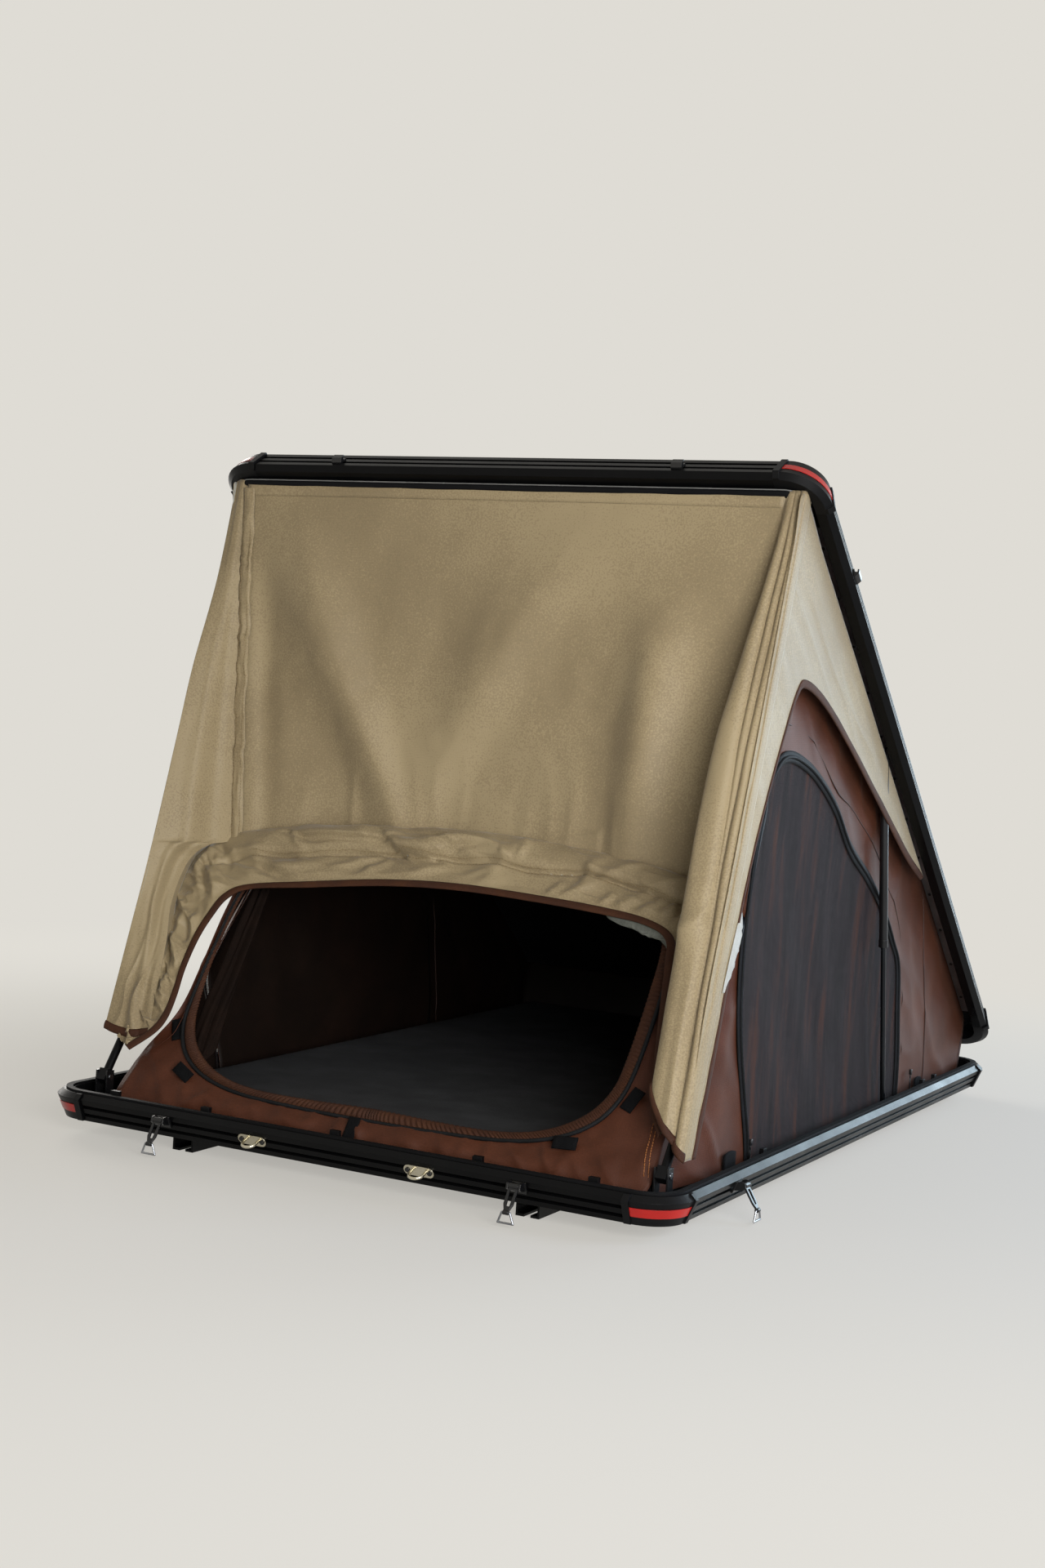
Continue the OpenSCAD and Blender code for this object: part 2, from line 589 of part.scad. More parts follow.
lining_v = lid_h - ledge_h + flange_t - 0.6;
module tent_front_upper() color("#4f2d20") {
    a = by_hoop(crown - 3.4, -9.2) + [5, 0];
    b = by_lid(base_d + hinge_back - 90, lining_v);
    c = by_lid(base_d + hinge_back - 90 - cloth_t, lining_v);
    rotate([90, 0, 90]) linear_extrude(2 * hoop_x - 60, center = true)
        polygon([a, b, c, a + [cloth_t, 0]]);
}

wall_side = [[hoop_y + 26, base_z + ledge_h - 1.2], by_hoop(32, -9.2), by_hoop(leg_l + 40, -9.2),
    by_hoop(crown - 20, -9.2), by_lid(base_d + hinge_back - 92, lining_v), by_lid(110, lining_v),
    [inner_y - 28, base_z + ledge_h]];
window = concat([[-515, 84] * ky, [-560, 200] * ky, by_hoop(leg_l - 105, -107), by_hoop(leg_l + 76, 17)],
    [for (p = [[-560, 800], [-470, 878], [-371, 876], [-273, 848], [-169, 798], [-20, 690], [127, 606],
    [290, 500], [372, 430], [410, 325], [438, 174], [447, 84]]) p * ky]);

module side_wall() rotate([90, 0, 90]) linear_extrude(cloth_t) difference() {
    polygon(wall_side);
    polygon(window);
}
module tent_right() color("#8a5d4d") translate([wall_x, 0, 0]) side_wall();
module tent_left() color("#8a5d4d") mirror([1, 0, 0]) translate([wall_x, 0, 0]) side_wall();
module mesh() rotate([90, 0, 90]) linear_extrude(1.6) polygon(window);
module mesh_windows() color("#3a3433") both_sides() translate([wall_x + 0.7, 0, 0]) mesh();
module tent_rear() color("#8a5d4d") {
    a = [inner_y - 28, base_z + ledge_h];
    b = by_lid(110, lining_v);
    rotate([90, 0, 90]) linear_extrude(2 * wall_x - 4, center = true)
        polygon([a - [cloth_t, 0], a, b, b - [cloth_t, 0]]);
}

// flysheet: front panel hung from the lid down to the hoop
fly_top = by_lid(base_d + hinge_back - 33, -2.3);
fly_low = by_hoop(crown + 9, tube_r + 4);
fly_rows = [for (j = [0 : 18]) let(f = j / 18) [for (i = [0 : 26])
    let(u = i / 13 - 1, x = u * (wall_x - 4 - 40 * f),
    z = fly_top[1] - f * (fly_top[1] - fly_low[1] + 60 * u * u),
    w = (1 - pow(abs(u), 6)) * sin(180 * min(1, f * 1.1)))
    [x, fly_top[0] + (fly_low[0] - fly_top[0]) * f
        + w * fold_d * (sin(u * 420 + 40 * f) + 0.6 * sin(u * 760 - 60 * f) - 1.5), z]]];
module fly_front() color("#a08e6c") cloth(fly_rows, moved(fly_rows, [0, cloth_t, 0]));

// arched hood over the door, standing off the hoop
hood_low = [for (p = [[620, 94], [592, 134], [580, 189], [580, 264], [572, 360], [548, 460], [504, 501],
    [320, 530], [114, 552], [0, 554]]) [p[0] * kx, p[1] * crown / 664]];
hood_high = concat([for (p = [[648, 154], [655, 214], [658, 274], [660, 354], [660, 434]])
    [p[0] * kx, p[1] * crown / 664]], [[hoop_x + 2, leg_l], [hoop_x - 50, crown - 66],
    [0.67 * hoop_x, crown - 29], [0.31 * hoop_x, crown - 3], [0, crown + 4]]);
function hood_pt(k, f) = let(n = len(hood_low) - 1, s = k <= n ? 1 : -1, i = k <= n ? k : 2 * n - k,
    p = hood_low[i] * (1 - f) + hood_high[i] * f,
    t = tube_r + cloth_t + 0.6 + 34 * min(1, 0.3 + 0.2 * i) * sin(180 * f) + 12 * (1 - f),
    g = by_hoop(p[1], t)) [s * p[0], g[0], g[1]];
hood_rows = [for (j = [0 : 7]) [for (k = [0 : 18]) hood_pt(k, j / 7)]];
module fly_hood() color("#a08e6c")
    cloth(hood_rows, moved(hood_rows, cloth_t * [0, sin(hoop_angle), -cos(hoop_angle)]));

// folded corner of the flysheet, from the lid corner down to the tray corner
function front_edge(z) = -570 * ky - 0.322 * (1351 * ky - z);
ridge_z = by_hoop(crown, 14)[1];
shoulder = by_hoop(leg_l, 24);
function fold_in(z) = let(a = (fly_top[1] - z) / (fly_top[1] - ridge_z),
    b = (ridge_z - z) / (ridge_z - shoulder[1]))
    z > ridge_z ? [wall_x - 2 - 38 * a, fly_top[0] + 2 - (fly_top[0] - fly_low[0] + 11) * a]
    : z > shoulder[1] ? [wall_x - 40 + 56 * b, fly_low[0] - 9 + (shoulder[0] - fly_low[0] + 9) * b]
    : [wall_x + 16, by_hoop((z - hoop_z) / sin(hoop_angle), 24)[0]];
function fold_row(f) = [for (i = [0 : 16]) let(o = min(1, max(0, (i - 4) / 12)), top = fly_top[1] - 6,
    z = top - f * (top - (part_z + 165 - 118 * o)), q = fold_in(z),
    w = 36 + 56 * min(1, f * 2.2) - 12 * f * f, d = fold_d * min(1, 0.35 + 3 * f) * (1 - 0.4 * f),
    y = front_edge(z) + 14 * f - 5, x = fly_x - 0.2 - w, h = i / 4)
    i < 4 ? [q[0] + (x - q[0]) * h, q[1] + (y - d - q[1]) * h, z]
    : [x + w * o, y - d * cos(o * 900) + 4 * o, z]];
fold_rows = [for (j = [0 : 20]) fold_row(j / 20)];
module fly_corner() cloth(fold_rows, [for (w = fold_rows) [for (i = [0 : 16])
    w[i] + cloth_t * (i < 4 ? [1, 0, 0] : i < 5 ? [0.5, 0.7, 0] : [0, 1, 0])]]);
module fly_corner_right() color("#a08e6c") fly_corner();
module fly_corner_left() color("#a08e6c") mirror([1, 0, 0]) fly_corner();

// side panel of the flysheet with its cut-out for the window
fly_side = concat([by_lid(base_d + hinge_back - 40, -0.6)],
    [for (z = [1300, 1000, 700, 400]) [front_edge(z * ky) + 9, z * ky]],
    [[front_edge(part_z + 47) + 24, part_z + 47]],
    [for (p = [[-874, 136], [-876, 200], [-858, 256], [-826, 347], [-776, 452], [-734, 558], [-698, 654],
    [-664, 736], [-616, 828], [-562, 920], [-538, 983], [-508, 1010], [-454, 1036], [-384, 1022],
    [-284, 978], [-104, 888], [128, 757], [338, 641], [428, 606]]) p * ky], [by_lid(850 * ky, -0.6)]);
module fly_panel() rotate([90, 0, 90]) linear_extrude(2.4) polygon(fly_side);
module fly_side_right() color("#b3a584") translate([fly_x, 0, 0]) fly_panel();
module fly_side_left() color("#b3a584") mirror([1, 0, 0]) translate([fly_x, 0, 0]) fly_panel();

floor_panel();
base_rail_front();
base_rail_rear();
base_rail_left();
base_rail_right();
base_caps();
base_reflectors();
base_seal();
mounting_rail_left();
mounting_rail_right();
hinge_base_leaves();
hinge_pins();
ladder_eyes();
ladder_eye_screws();
latch_brackets();
strut_base_brackets();
hoop_brackets();
hoop_pins();
hem_buckles();
mattress();
tent_front();
tent_front_upper();
tent_left();
tent_right();
tent_rear();
mesh_windows();
fly_front();
fly_hood();
fly_corner_left();
fly_corner_right();
fly_side_left();
fly_side_right();
roof_panel();
lid_rail_front();
lid_rail_rear();
lid_rail_left();
lid_rail_right();
lid_caps();
lid_reflectors();
hinge_lid_leaves();
lid_catches();
strut_lid_brackets();
lid_battens();
batten_screws();
strut_rod_left();
strut_cylinder_left();
strut_rod_right();
strut_cylinder_right();
hoop_blocks();
hoop_legs();
hoop_elbows();
hoop_crossbar();
latch_levers_front_left();
latch_levers_front_right();
latch_levers_left();
latch_levers_right();
latch_bails_front_left();
latch_bails_front_right();
latch_bails_left();
latch_bails_right();
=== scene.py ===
import bpy, bmesh
from math import sin, cos, pi, radians, exp, sqrt
from mathutils import Vector, Matrix, noise


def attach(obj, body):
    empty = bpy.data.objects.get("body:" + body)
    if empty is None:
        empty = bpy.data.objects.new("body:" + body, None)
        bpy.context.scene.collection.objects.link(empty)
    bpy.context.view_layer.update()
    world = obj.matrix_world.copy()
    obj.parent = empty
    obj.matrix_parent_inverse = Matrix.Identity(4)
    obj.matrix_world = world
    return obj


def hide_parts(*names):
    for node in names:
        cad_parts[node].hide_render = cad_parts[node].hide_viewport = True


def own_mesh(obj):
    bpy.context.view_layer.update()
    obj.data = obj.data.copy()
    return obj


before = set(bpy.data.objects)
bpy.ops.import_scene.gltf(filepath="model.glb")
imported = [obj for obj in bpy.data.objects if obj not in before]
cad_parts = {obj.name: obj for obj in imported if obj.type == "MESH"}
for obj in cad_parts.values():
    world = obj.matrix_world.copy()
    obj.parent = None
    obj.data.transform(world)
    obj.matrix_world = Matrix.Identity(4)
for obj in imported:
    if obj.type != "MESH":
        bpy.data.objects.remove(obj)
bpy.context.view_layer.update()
scene = bpy.context.scene
print("frame loaded,", len(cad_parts), "nodes")

# sizes of the frame that the cloth hangs on, in metres
shell = {"hingeY": 1.088, "hingeZ": 0.0955, "openAngle": radians(39.2), "innerX": 0.691}
hoop = {"y": -0.953, "z": 0.083, "angle": radians(56)}
hoopOut = Vector((0, -sin(hoop["angle"]), cos(hoop["angle"])))
towardsFront = Vector((0, -1, 0))
bothSides = ((-1, "left"), (1, "right"))


def underLid(x, r, v):  # r from the hinge, v above the lid's lower edge
    a = shell["openAngle"]
    return Vector((x, shell["hingeY"] - r * cos(a) + (v + 0.0025) * sin(a),
                   shell["hingeZ"] + r * sin(a) + (v + 0.0025) * cos(a)))


def byHoop(x, s, t):  # s along the hoop's legs, t in front of its plane
    a = hoop["angle"]
    return Vector((x, hoop["y"] + s * cos(a) - t * sin(a), hoop["z"] + s * sin(a) + t * cos(a)))


def alongCurve(keys, t):  # smooth curve through a few points
    n = len(keys) - 1
    g = min(max(t, 0), 1) * n
    i = min(int(g), n - 1)
    w = g - i
    a, b, c, d = [Vector(keys[min(max(i + k, 0), n)]) for k in (-1, 0, 1, 2)]
    return 0.5 * (2 * b + (c - a) * w + (2 * a - 5 * b + 4 * c - d) * w ** 2 + (3 * b - a - 3 * c + d) * w ** 3)


def ease(t):
    t = min(max(t, 0), 1)
    return t * t * (3 - 2 * t)


def rumple(p, size, seed=0.0):  # smooth noise, about -1 to 1
    return noise.noise(Vector(p) / size + Vector((seed, seed * 0.7, -seed)))


def crease(p, size, seed=0.0):  # narrow backs with soft hollows between them, 0 to 1
    return (1 - min(1, abs(rumple(p, size, seed)) * 2.4)) ** 1.6


def foldAt(x, s, line, leftWide, rightWide):  # height 0 to 1 of one fold that runs along a line
    best = 0.0
    n = len(line) - 1
    for i in range(n):
        (ax, ay), (bx, by) = line[i], line[i + 1]
        rx, ry = bx - ax, by - ay
        k = min(max(((x - ax) * rx + (s - ay) * ry) / (rx * rx + ry * ry), 0), 1)
        dx, dy = x - ax - rx * k, s - ay - ry * k
        wide = leftWide if rx * dy - ry * dx > 0 else rightWide
        far = (dx * dx + dy * dy) / (wide * wide)
        if far < 6:
            best = max(best, exp(-far) * sin(pi * (0.06 + 0.88 * (i + k) / n)) ** 0.6)
    return best


# materials

def linear(hexColour):
    parts = [int(hexColour[i:i + 2], 16) / 255 for i in (1, 3, 5)]
    return tuple(c / 12.92 if c <= 0.04045 else ((c + 0.055) / 1.055) ** 2.4 for c in parts) + (1,)


def addNode(mat, kind, settings=None, links=None):
    node = mat.node_tree.nodes.new("ShaderNode" + kind)
    for key, value in (settings or {}).items():
        if key == "ramp":
            for k, (place, colour) in enumerate(value):
                stop = node.color_ramp.elements[k] if k < 2 else node.color_ramp.elements.new(place)
                stop.position, stop.color = place, colour
        elif isinstance(key, int) or key in node.inputs:
            node.inputs[key].default_value = value
        else:
            setattr(node, key, value)
    for key, output in (links or {}).items():
        mat.node_tree.links.new(output, node.inputs[key])
    return node


def startMaterial(name, sockets):
    mat = bpy.data.materials.new(name)
    mat.use_nodes = True
    mat.node_tree.nodes.clear()
    shader = addNode(mat, "BsdfPrincipled", sockets)
    addNode(mat, "OutputMaterial", None, {"Surface": shader.outputs[0]})
    place = addNode(mat, "TexCoord").outputs["Object"]
    return mat, shader, place


def makeCloth(name, tones, threadMm, blotchMm, sockets, weaveDepth=0.35, grainDepth=0.25, mottle=0.42):
    mat, shader, place = startMaterial(name, sockets)
    join = mat.node_tree.links.new
    # threads run up and across; they are drawn coarser than life so that they show
    k = 2 * pi / (threadMm / 1000) / 20
    turned = addNode(mat, "Mapping", {"Rotation": (0, 0, radians(45))}, {"Vector": place})
    threads = {"Distortion": 0.6, "Detail": 1.0, "Detail Scale": 2.0}
    across = addNode(mat, "TexWave", {"Scale": k, "bands_direction": "X", **threads}, {"Vector": turned.outputs[0]})
    up = addNode(mat, "TexWave", {"Scale": k * 0.71, "bands_direction": "Z", **threads}, {"Vector": place})
    weave = addNode(mat, "Math", {"operation": "MULTIPLY"}, {0: across.outputs["Fac"], 1: up.outputs["Fac"]})
    grain = addNode(mat, "TexNoise", {"Scale": 1000 / (threadMm * 1.6), "Detail": 2.0}, {"Vector": place})
    blotch = addNode(mat, "TexNoise", {"Scale": 1000 / blotchMm, "Detail": 4.0, "Roughness": 0.6},
                     {"Vector": place})
    mixed = addNode(mat, "Math", {"operation": "MULTIPLY_ADD", 1: mottle},
                    {0: grain.outputs["Fac"], 2: blotch.outputs["Fac"]})
    middle = 0.5 * mottle + 0.49
    stops = [(middle - 0.28, linear(tones[0])), (middle + 0.28, linear(tones[2])), (middle, linear(tones[1]))]
    shade = addNode(mat, "ValToRGB", {"ramp": stops}, {"Fac": mixed.outputs[0]})
    join(shade.outputs["Color"], shader.inputs["Base Color"])
    first = addNode(mat, "Bump", {"Strength": weaveDepth, "Distance": 0.0006}, {"Height": weave.outputs[0]})
    second = addNode(mat, "Bump", {"Strength": grainDepth, "Distance": 0.001},
                     {"Height": grain.outputs["Fac"], "Normal": first.outputs[0]})
    join(second.outputs[0], shader.inputs["Normal"])
    return mat


def makeCoat(name, tones, grainMm, sockets, depth=0.12, edge=0.0012):
    mat, shader, place = startMaterial(name, sockets)
    join = mat.node_tree.links.new
    grain = addNode(mat, "TexNoise", {"Scale": 1000 / grainMm, "Detail": 2.0}, {"Vector": place})
    dust = addNode(mat, "TexNoise", {"Scale": 9.0, "Detail": 5.0, "Roughness": 0.62}, {"Vector": place})
    shade = addNode(mat, "ValToRGB", {"ramp": [(0.35, linear(tones[0])), (0.75, linear(tones[1]))]},
                    {"Fac": dust.outputs["Fac"]})
    join(shade.outputs["Color"], shader.inputs["Base Color"])
    base = sockets.get("Roughness", 0.5)
    rough = addNode(mat, "MapRange", {"From Min": 0.3, "From Max": 0.8, "To Min": base - 0.06,
                                      "To Max": base + 0.1}, {"Value": dust.outputs["Fac"]})
    join(rough.outputs[0], shader.inputs["Roughness"])
    soft = addNode(mat, "Bevel", {"Radius": edge, "samples": 4})  # softened arrises
    bump = addNode(mat, "Bump", {"Strength": depth, "Distance": 0.0004},
                   {"Height": grain.outputs["Fac"], "Normal": soft.outputs[0]})
    join(bump.outputs[0], shader.inputs["Normal"])
    return mat


# powder-coated aluminium: near black, fine orange peel, soft sheen
powderCoat = makeCoat("powderCoatedAluminium", ("#050506", "#090909"), 1.2,
                      {"Roughness": 0.32, "IOR": 1.5, "Specular IOR Level": 0.09})
# glass-filled nylon, moulded: black, faintly grained
mouldedNylon = makeCoat("mouldedNylon", ("#060607", "#0b0b0c"), 0.8,
                        {"Roughness": 0.44, "IOR": 1.53, "Specular IOR Level": 0.12}, 0.2)
# retro-reflective tape under clear film: red with a glossy coat
redTape = makeCoat("redReflectiveTape", ("#9a150f", "#b21c15"), 2.5,
                   {"Roughness": 0.36, "Specular IOR Level": 0.25, "Coat Weight": 0.2, "Coat Roughness": 0.15}, 0.25)
# EPDM rubber: dull black
rubberSeal = makeCoat("epdmRubber", ("#070708", "#0c0c0d"), 1.5, {"Roughness": 0.7, "Specular IOR Level": 0.1}, 0.1)
# PVC bead, glossy; its mid grey is partly a painted highlight along the lip's edge
highlightBeadPvc = makeCoat("glossyPvcPaintedHighlight", ("#5e5e5c", "#71716e"), 1.5, {"Roughness": 0.25, "Specular IOR Level": 0.5}, 0.05)
# zinc-plated steel, bright: pins and wire
zincSteel = makeCoat("zincPlatedSteel", ("#7c7e82", "#9b9da0"), 0.6, {"Metallic": 1.0, "Roughness": 0.26}, 0.06)
# stainless steel, polished: ladder eyes
stainless = makeCoat("polishedStainless", ("#b0a994", "#cbc5b3"), 0.7, {"Metallic": 1.0, "Roughness": 0.24}, 0.05)
# black e-coated steel: latches, hinges, brackets
blackSteel = makeCoat("eCoatedSteel", ("#0a0a0b", "#111112"), 0.7,
                      {"Roughness": 0.3, "IOR": 1.5, "Specular IOR Level": 0.4}, 0.08)
# mill-finish aluminium strip
millAluminium = makeCoat("millAluminium", ("#7d8083", "#989b9d"), 1.0, {"Metallic": 1.0, "Roughness": 0.42}, 0.1)
# hard-chromed rod, dark: strut rods
darkChrome = makeCoat("blackChromedRod", ("#191b1d", "#232528"), 0.5, {"Metallic": 0.7, "Roughness": 0.25}, 0.03)
# laminated sandwich board: dark, slightly pebbled
darkBoard = makeCoat("pebbledSandwichBoard", ("#101113", "#17181a"), 2.2,
                     {"Roughness": 0.6, "Specular IOR Level": 0.3}, 0.35)

# poly-cotton canvas, woven and coated: tan, dry, pale sheen at a low angle
tanCanvas = makeCloth("polyCottonCanvas", ("#7e6f54", "#88785b", "#938364"), 2.4, 420,
                      {"Roughness": 0.55, "IOR": 1.45, "Specular IOR Level": 0.3, "Sheen Weight": 0.18,
                       "Sheen Roughness": 0.35, "Sheen Tint": linear("#f4f6f8")}, mottle=0.8)
# silver-grey polyurethane coat on the back of the canvas
canvasBack = makeCloth("coatedCanvasBack", ("#8f8d83", "#9c9a90", "#a8a69d"), 2.4, 180, {"Roughness": 0.55})
# the same coat, duller, and painted darker grey as shade where it faces down under the hood
dullShadedBack = makeCloth("dullCanvasBackPaintedShade", ("#55574f", "#696b63", "#80827a"), 2.4, 40,
                     {"Roughness": 0.8, "Specular IOR Level": 0.1})
# brown polyester oxford, woven: inner tent
brownOxford = makeCloth("polyesterOxford", ("#371b0e", "#432213", "#502b1a"), 2.0, 160,
                        {"Roughness": 0.6, "IOR": 1.5, "Specular IOR Level": 0.2, "Sheen Weight": 0.04,
                         "Sheen Roughness": 0.4, "Sheen Tint": linear("#e8c8b4")})
# inside face of the oxford, painted near black as the shade inside the tent
shadedLining = makeCloth("oxfordBackPaintedShade", ("#0f0805", "#150c07", "#1d110b"), 2.0, 120,
                       {"Roughness": 0.5, "Specular IOR Level": 0.3})
# the door's own cloth, rolled with its back side out, dull, painted near black as the shade inside the opening
shadedRolledCloth = makeCloth("dullOxfordPaintedShade", ("#0d0705", "#130b07", "#1a100b"), 2.0, 60,
                        {"Roughness": 0.85, "Specular IOR Level": 0.08})
# grosgrain binding tape, ribbed
bindingTape = makeCloth("grosgrainTape", ("#2a1407", "#361b0b", "#432510"), 1.6, 60,
                        {"Roughness": 0.75, "Specular IOR Level": 0.25}, 0.6)
# nylon webbing, black
blackWebbing = makeCloth("nylonWebbing", ("#090a0b", "#0f1011", "#15171a"), 2.0, 50,
                         {"Roughness": 0.65, "Specular IOR Level": 0.15}, 0.6)
# hook and loop tape, black, fuzzy
loopTape = makeCloth("hookAndLoopTape", ("#070708", "#0c0c0d", "#121213"), 1.5, 30,
                     {"Roughness": 0.95, "Specular IOR Level": 0.1}, 0.3, 0.8)
# knitted mattress cover, dark grey
knitCover = makeCloth("knittedCover", ("#333334", "#3c3c3d", "#464647"), 2.6, 120,
                      {"Roughness": 0.9, "Specular IOR Level": 0.12})
# spun polyester thread, orange-brown and tan
seamThread = makeCloth("spunThread", ("#7a441c", "#8f5526", "#a06631"), 1.2, 20, {"Roughness": 0.7})
tanThread = makeCloth("tanThread", ("#6d5a3b", "#7a6745", "#877450"), 1.2, 20, {"Roughness": 0.7})
darkThread = makeCloth("darkThread", ("#24120b", "#2f1910", "#3a2116"), 1.2, 20, {"Roughness": 0.7})


def makeMesh():
    # knitted insect mesh: dark yarn with small holes, drawn at 3 mm so that it shows; the cloth flap
    # behind it gives rust-brown streaks
    mat, shader, place = startMaterial("knittedInsectMesh", {"Roughness": 0.8, "Specular IOR Level": 0.1})
    join = mat.node_tree.links.new
    across = addNode(mat, "TexWave", {"Scale": 105.0, "bands_direction": "Y", "Distortion": 0.3}, {"Vector": place})
    up = addNode(mat, "TexWave", {"Scale": 105.0, "bands_direction": "Z", "Distortion": 0.3}, {"Vector": place})
    yarn = addNode(mat, "Math", {"operation": "MAXIMUM"}, {0: across.outputs["Fac"], 1: up.outputs["Fac"]})
    cover = addNode(mat, "MapRange", {"From Min": 0.55, "From Max": 0.85, "To Min": 0.70, "To Max": 1.0},
                    {"Value": yarn.outputs[0]})
    join(cover.outputs[0], shader.inputs["Alpha"])
    lean = addNode(mat, "Mapping", {"Rotation": (radians(-28), 0, 0), "Scale": (1.0, 14.0, 1.6)}, {"Vector": place})
    streak = addNode(mat, "TexNoise", {"Scale": 2.2, "Detail": 5.0, "Roughness": 0.6}, {"Vector": lean.outputs[0]})
    shade = addNode(mat, "ValToRGB", {"ramp": [(0.32, linear("#1b1716")), (0.76, linear("#46291c")),
                                               (0.52, linear("#262020"))]}, {"Fac": streak.outputs["Fac"]})
    join(shade.outputs["Color"], shader.inputs["Base Color"])
    bump = addNode(mat, "Bump", {"Strength": 0.4, "Distance": 0.0006}, {"Height": yarn.outputs[0]})
    join(bump.outputs[0], shader.inputs["Normal"])
    return mat


insectMesh = makeMesh()
print("materials ready:", len(bpy.data.materials))

# finishes of the solids that stay, by the start of their names
finishes = {
    powderCoat: ("base_rail", "lid_rail", "mounting_rail", "hoop_legs", "hoop_elbows", "hoop_crossbar"),
    mouldedNylon: ("base_caps", "lid_caps", "hoop_blocks", "hem_buckles"),
    redTape: ("base_reflectors", "lid_reflectors"),
    rubberSeal: ("base_seal",),
    zincSteel: ("hinge_pins", "hoop_pins", "latch_bails"),
    stainless: ("ladder_eyes",),
    blackSteel: ("ladder_eye_screws", "latch_brackets", "latch_levers", "hinge_base_leaves", "hinge_lid_leaves",
                 "lid_catches", "strut_base_brackets", "strut_lid_brackets", "hoop_brackets", "batten_screws",
                 "strut_cylinder"),
    darkChrome: ("strut_rod",),
    millAluminium: ("lid_battens",),
    darkBoard: ("floor_panel", "roof_panel"),
}
for finish, starts in finishes.items():
    for name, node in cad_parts.items():
        if name.startswith(starts):
            node.data.materials.clear()
            node.data.materials.append(finish)


# making pieces

cloth = []  # all the cloth pieces, which in the tent pack flat when the lid is shut
canvas = {"mats": [tanCanvas, canvasBack], "thick": 0.0016, "slot": "tan_cloth"}
# the oxford's back face is painted near black as the shade inside the tent
oxford = {"mats": [brownOxford, shadedLining], "thick": 0.0012, "slot": "brown_cloth"}
netting = {"mats": [insectMesh], "slot": "mesh"}


def oneSided(mat, thick, slot):
    return {"mats": [mat], "thick": thick, "slot": slot}


def finishPiece(name, bm, mats, slot, smooth=True):
    mesh = bpy.data.meshes.new(name)
    bm.to_mesh(mesh)
    bm.free()
    for face in mesh.polygons:
        face.use_smooth = smooth
    obj = bpy.data.objects.new(name, mesh)
    scene.collection.objects.link(obj)
    for mat in mats:
        mesh.materials.append(mat)
    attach(obj, "base")
    cloth.append(obj)
    return obj


def gridMesh(across, down, place, loop=False):
    bm = bmesh.new()
    bmesh.ops.create_grid(bm, x_segments=across, y_segments=down, size=0.5)
    for v in bm.verts:
        v.co = place(v.co.x + 0.5, 0.5 - v.co.y)
    if loop:
        bmesh.ops.remove_doubles(bm, verts=bm.verts, dist=0.00002)
    return bm


def editMesh(obj, change):
    bm = bmesh.new()
    bm.from_mesh(obj.data)
    change(bm)
    bm.to_mesh(obj.data)
    bm.free()


def turnFaces(obj, outward):  # makes a sheet's front face this way
    def change(bm):
        bm.normal_update()
        if sum(face.normal.dot(outward) * face.calc_area() for face in bm.faces) < 0:
            bmesh.ops.reverse_faces(bm, faces=bm.faces)
    editMesh(obj, change)


def closeHoles(bm):
    bmesh.ops.holes_fill(bm, edges=[e for e in bm.edges if e.is_boundary], sides=0)
    bmesh.ops.recalc_face_normals(bm, faces=bm.faces)


def thicken(obj, depth, backSlot=0, offset=-1.0):
    mod = obj.modifiers.new("thickness", "SOLIDIFY")
    mod.thickness, mod.offset, mod.material_offset = depth, offset, backSlot
    mod.use_rim = True


def makeSheet(name, bm, look, outward, node=None):
    obj = finishPiece(name, bm, look["mats"], look["slot"])
    turnFaces(obj, outward)
    if "thick" in look:
        thicken(obj, look["thick"], len(look["mats"]) - 1, look.get("offset", -1.0))
    if node:
        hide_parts(node)
    return obj


def declareSheet(obj, width, length, held, restsOn):
    # no cutting pattern is known; this only reads the list of parts the sheet rests on; the area is that of the
    # cloth as modelled, and the flat size grows to hold it
    list(restsOn)


def packsFlat(obj):
    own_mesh(obj)


def tapeAlong(name, path, wide, mat, slot, count, thick=0.0022):
    # path gives (point, outward direction, direction across the tape)
    def place(u, f):
        p, out, side = path(u)
        return p + side * (0.5 - f) * wide + out * thick * (1 - (2 * f - 1) ** 2) * 0.5
    thicken(finishPiece(name, gridMesh(count, 4, place), [mat], slot), thick)


def tubeAlong(name, points, radius, mat, slot, sides=8, loop=False):
    curve = bpy.data.curves.new(name, "CURVE")
    curve.dimensions = "3D"
    curve.bevel_depth, curve.bevel_resolution = radius, max(1, sides // 4)
    curve.use_fill_caps = True
    spline = curve.splines.new("POLY")
    spline.points.add(len(points) - 1)
    for knot, p in zip(spline.points, points):
        knot.co = (*p, 1)
    spline.use_cyclic_u = loop
    holder = bpy.data.objects.new(name + "Line", curve)
    scene.collection.objects.link(holder)
    bpy.context.view_layer.update()
    mesh = bpy.data.meshes.new_from_object(holder.evaluated_get(bpy.context.evaluated_depsgraph_get()))
    bpy.data.objects.remove(holder)
    bm = bmesh.new()
    bm.from_mesh(mesh)
    bmesh.ops.remove_doubles(bm, verts=bm.verts, dist=0.00002)
    finishPiece(name, bm, [mat], slot)


def stitches(name, path, length, mat, slot, pitch=0.0065, wide=0.0011):
    # a row of short raised threads along a seam
    count = int(length / pitch)
    bm = bmesh.new()
    for i in range(count):
        a, b = path((i + 0.18) / count), path((i + 0.82) / count)
        run = b - a
        turn = run.to_track_quat("X", "Z").to_matrix().to_4x4()
        bmesh.ops.create_cube(bm, size=1.0, matrix=Matrix.Translation((a + b) / 2) @ turn
                              @ Matrix.Diagonal((run.length, wide, wide, 1)))
    finishPiece(name, bm, [mat], slot, smooth=False)


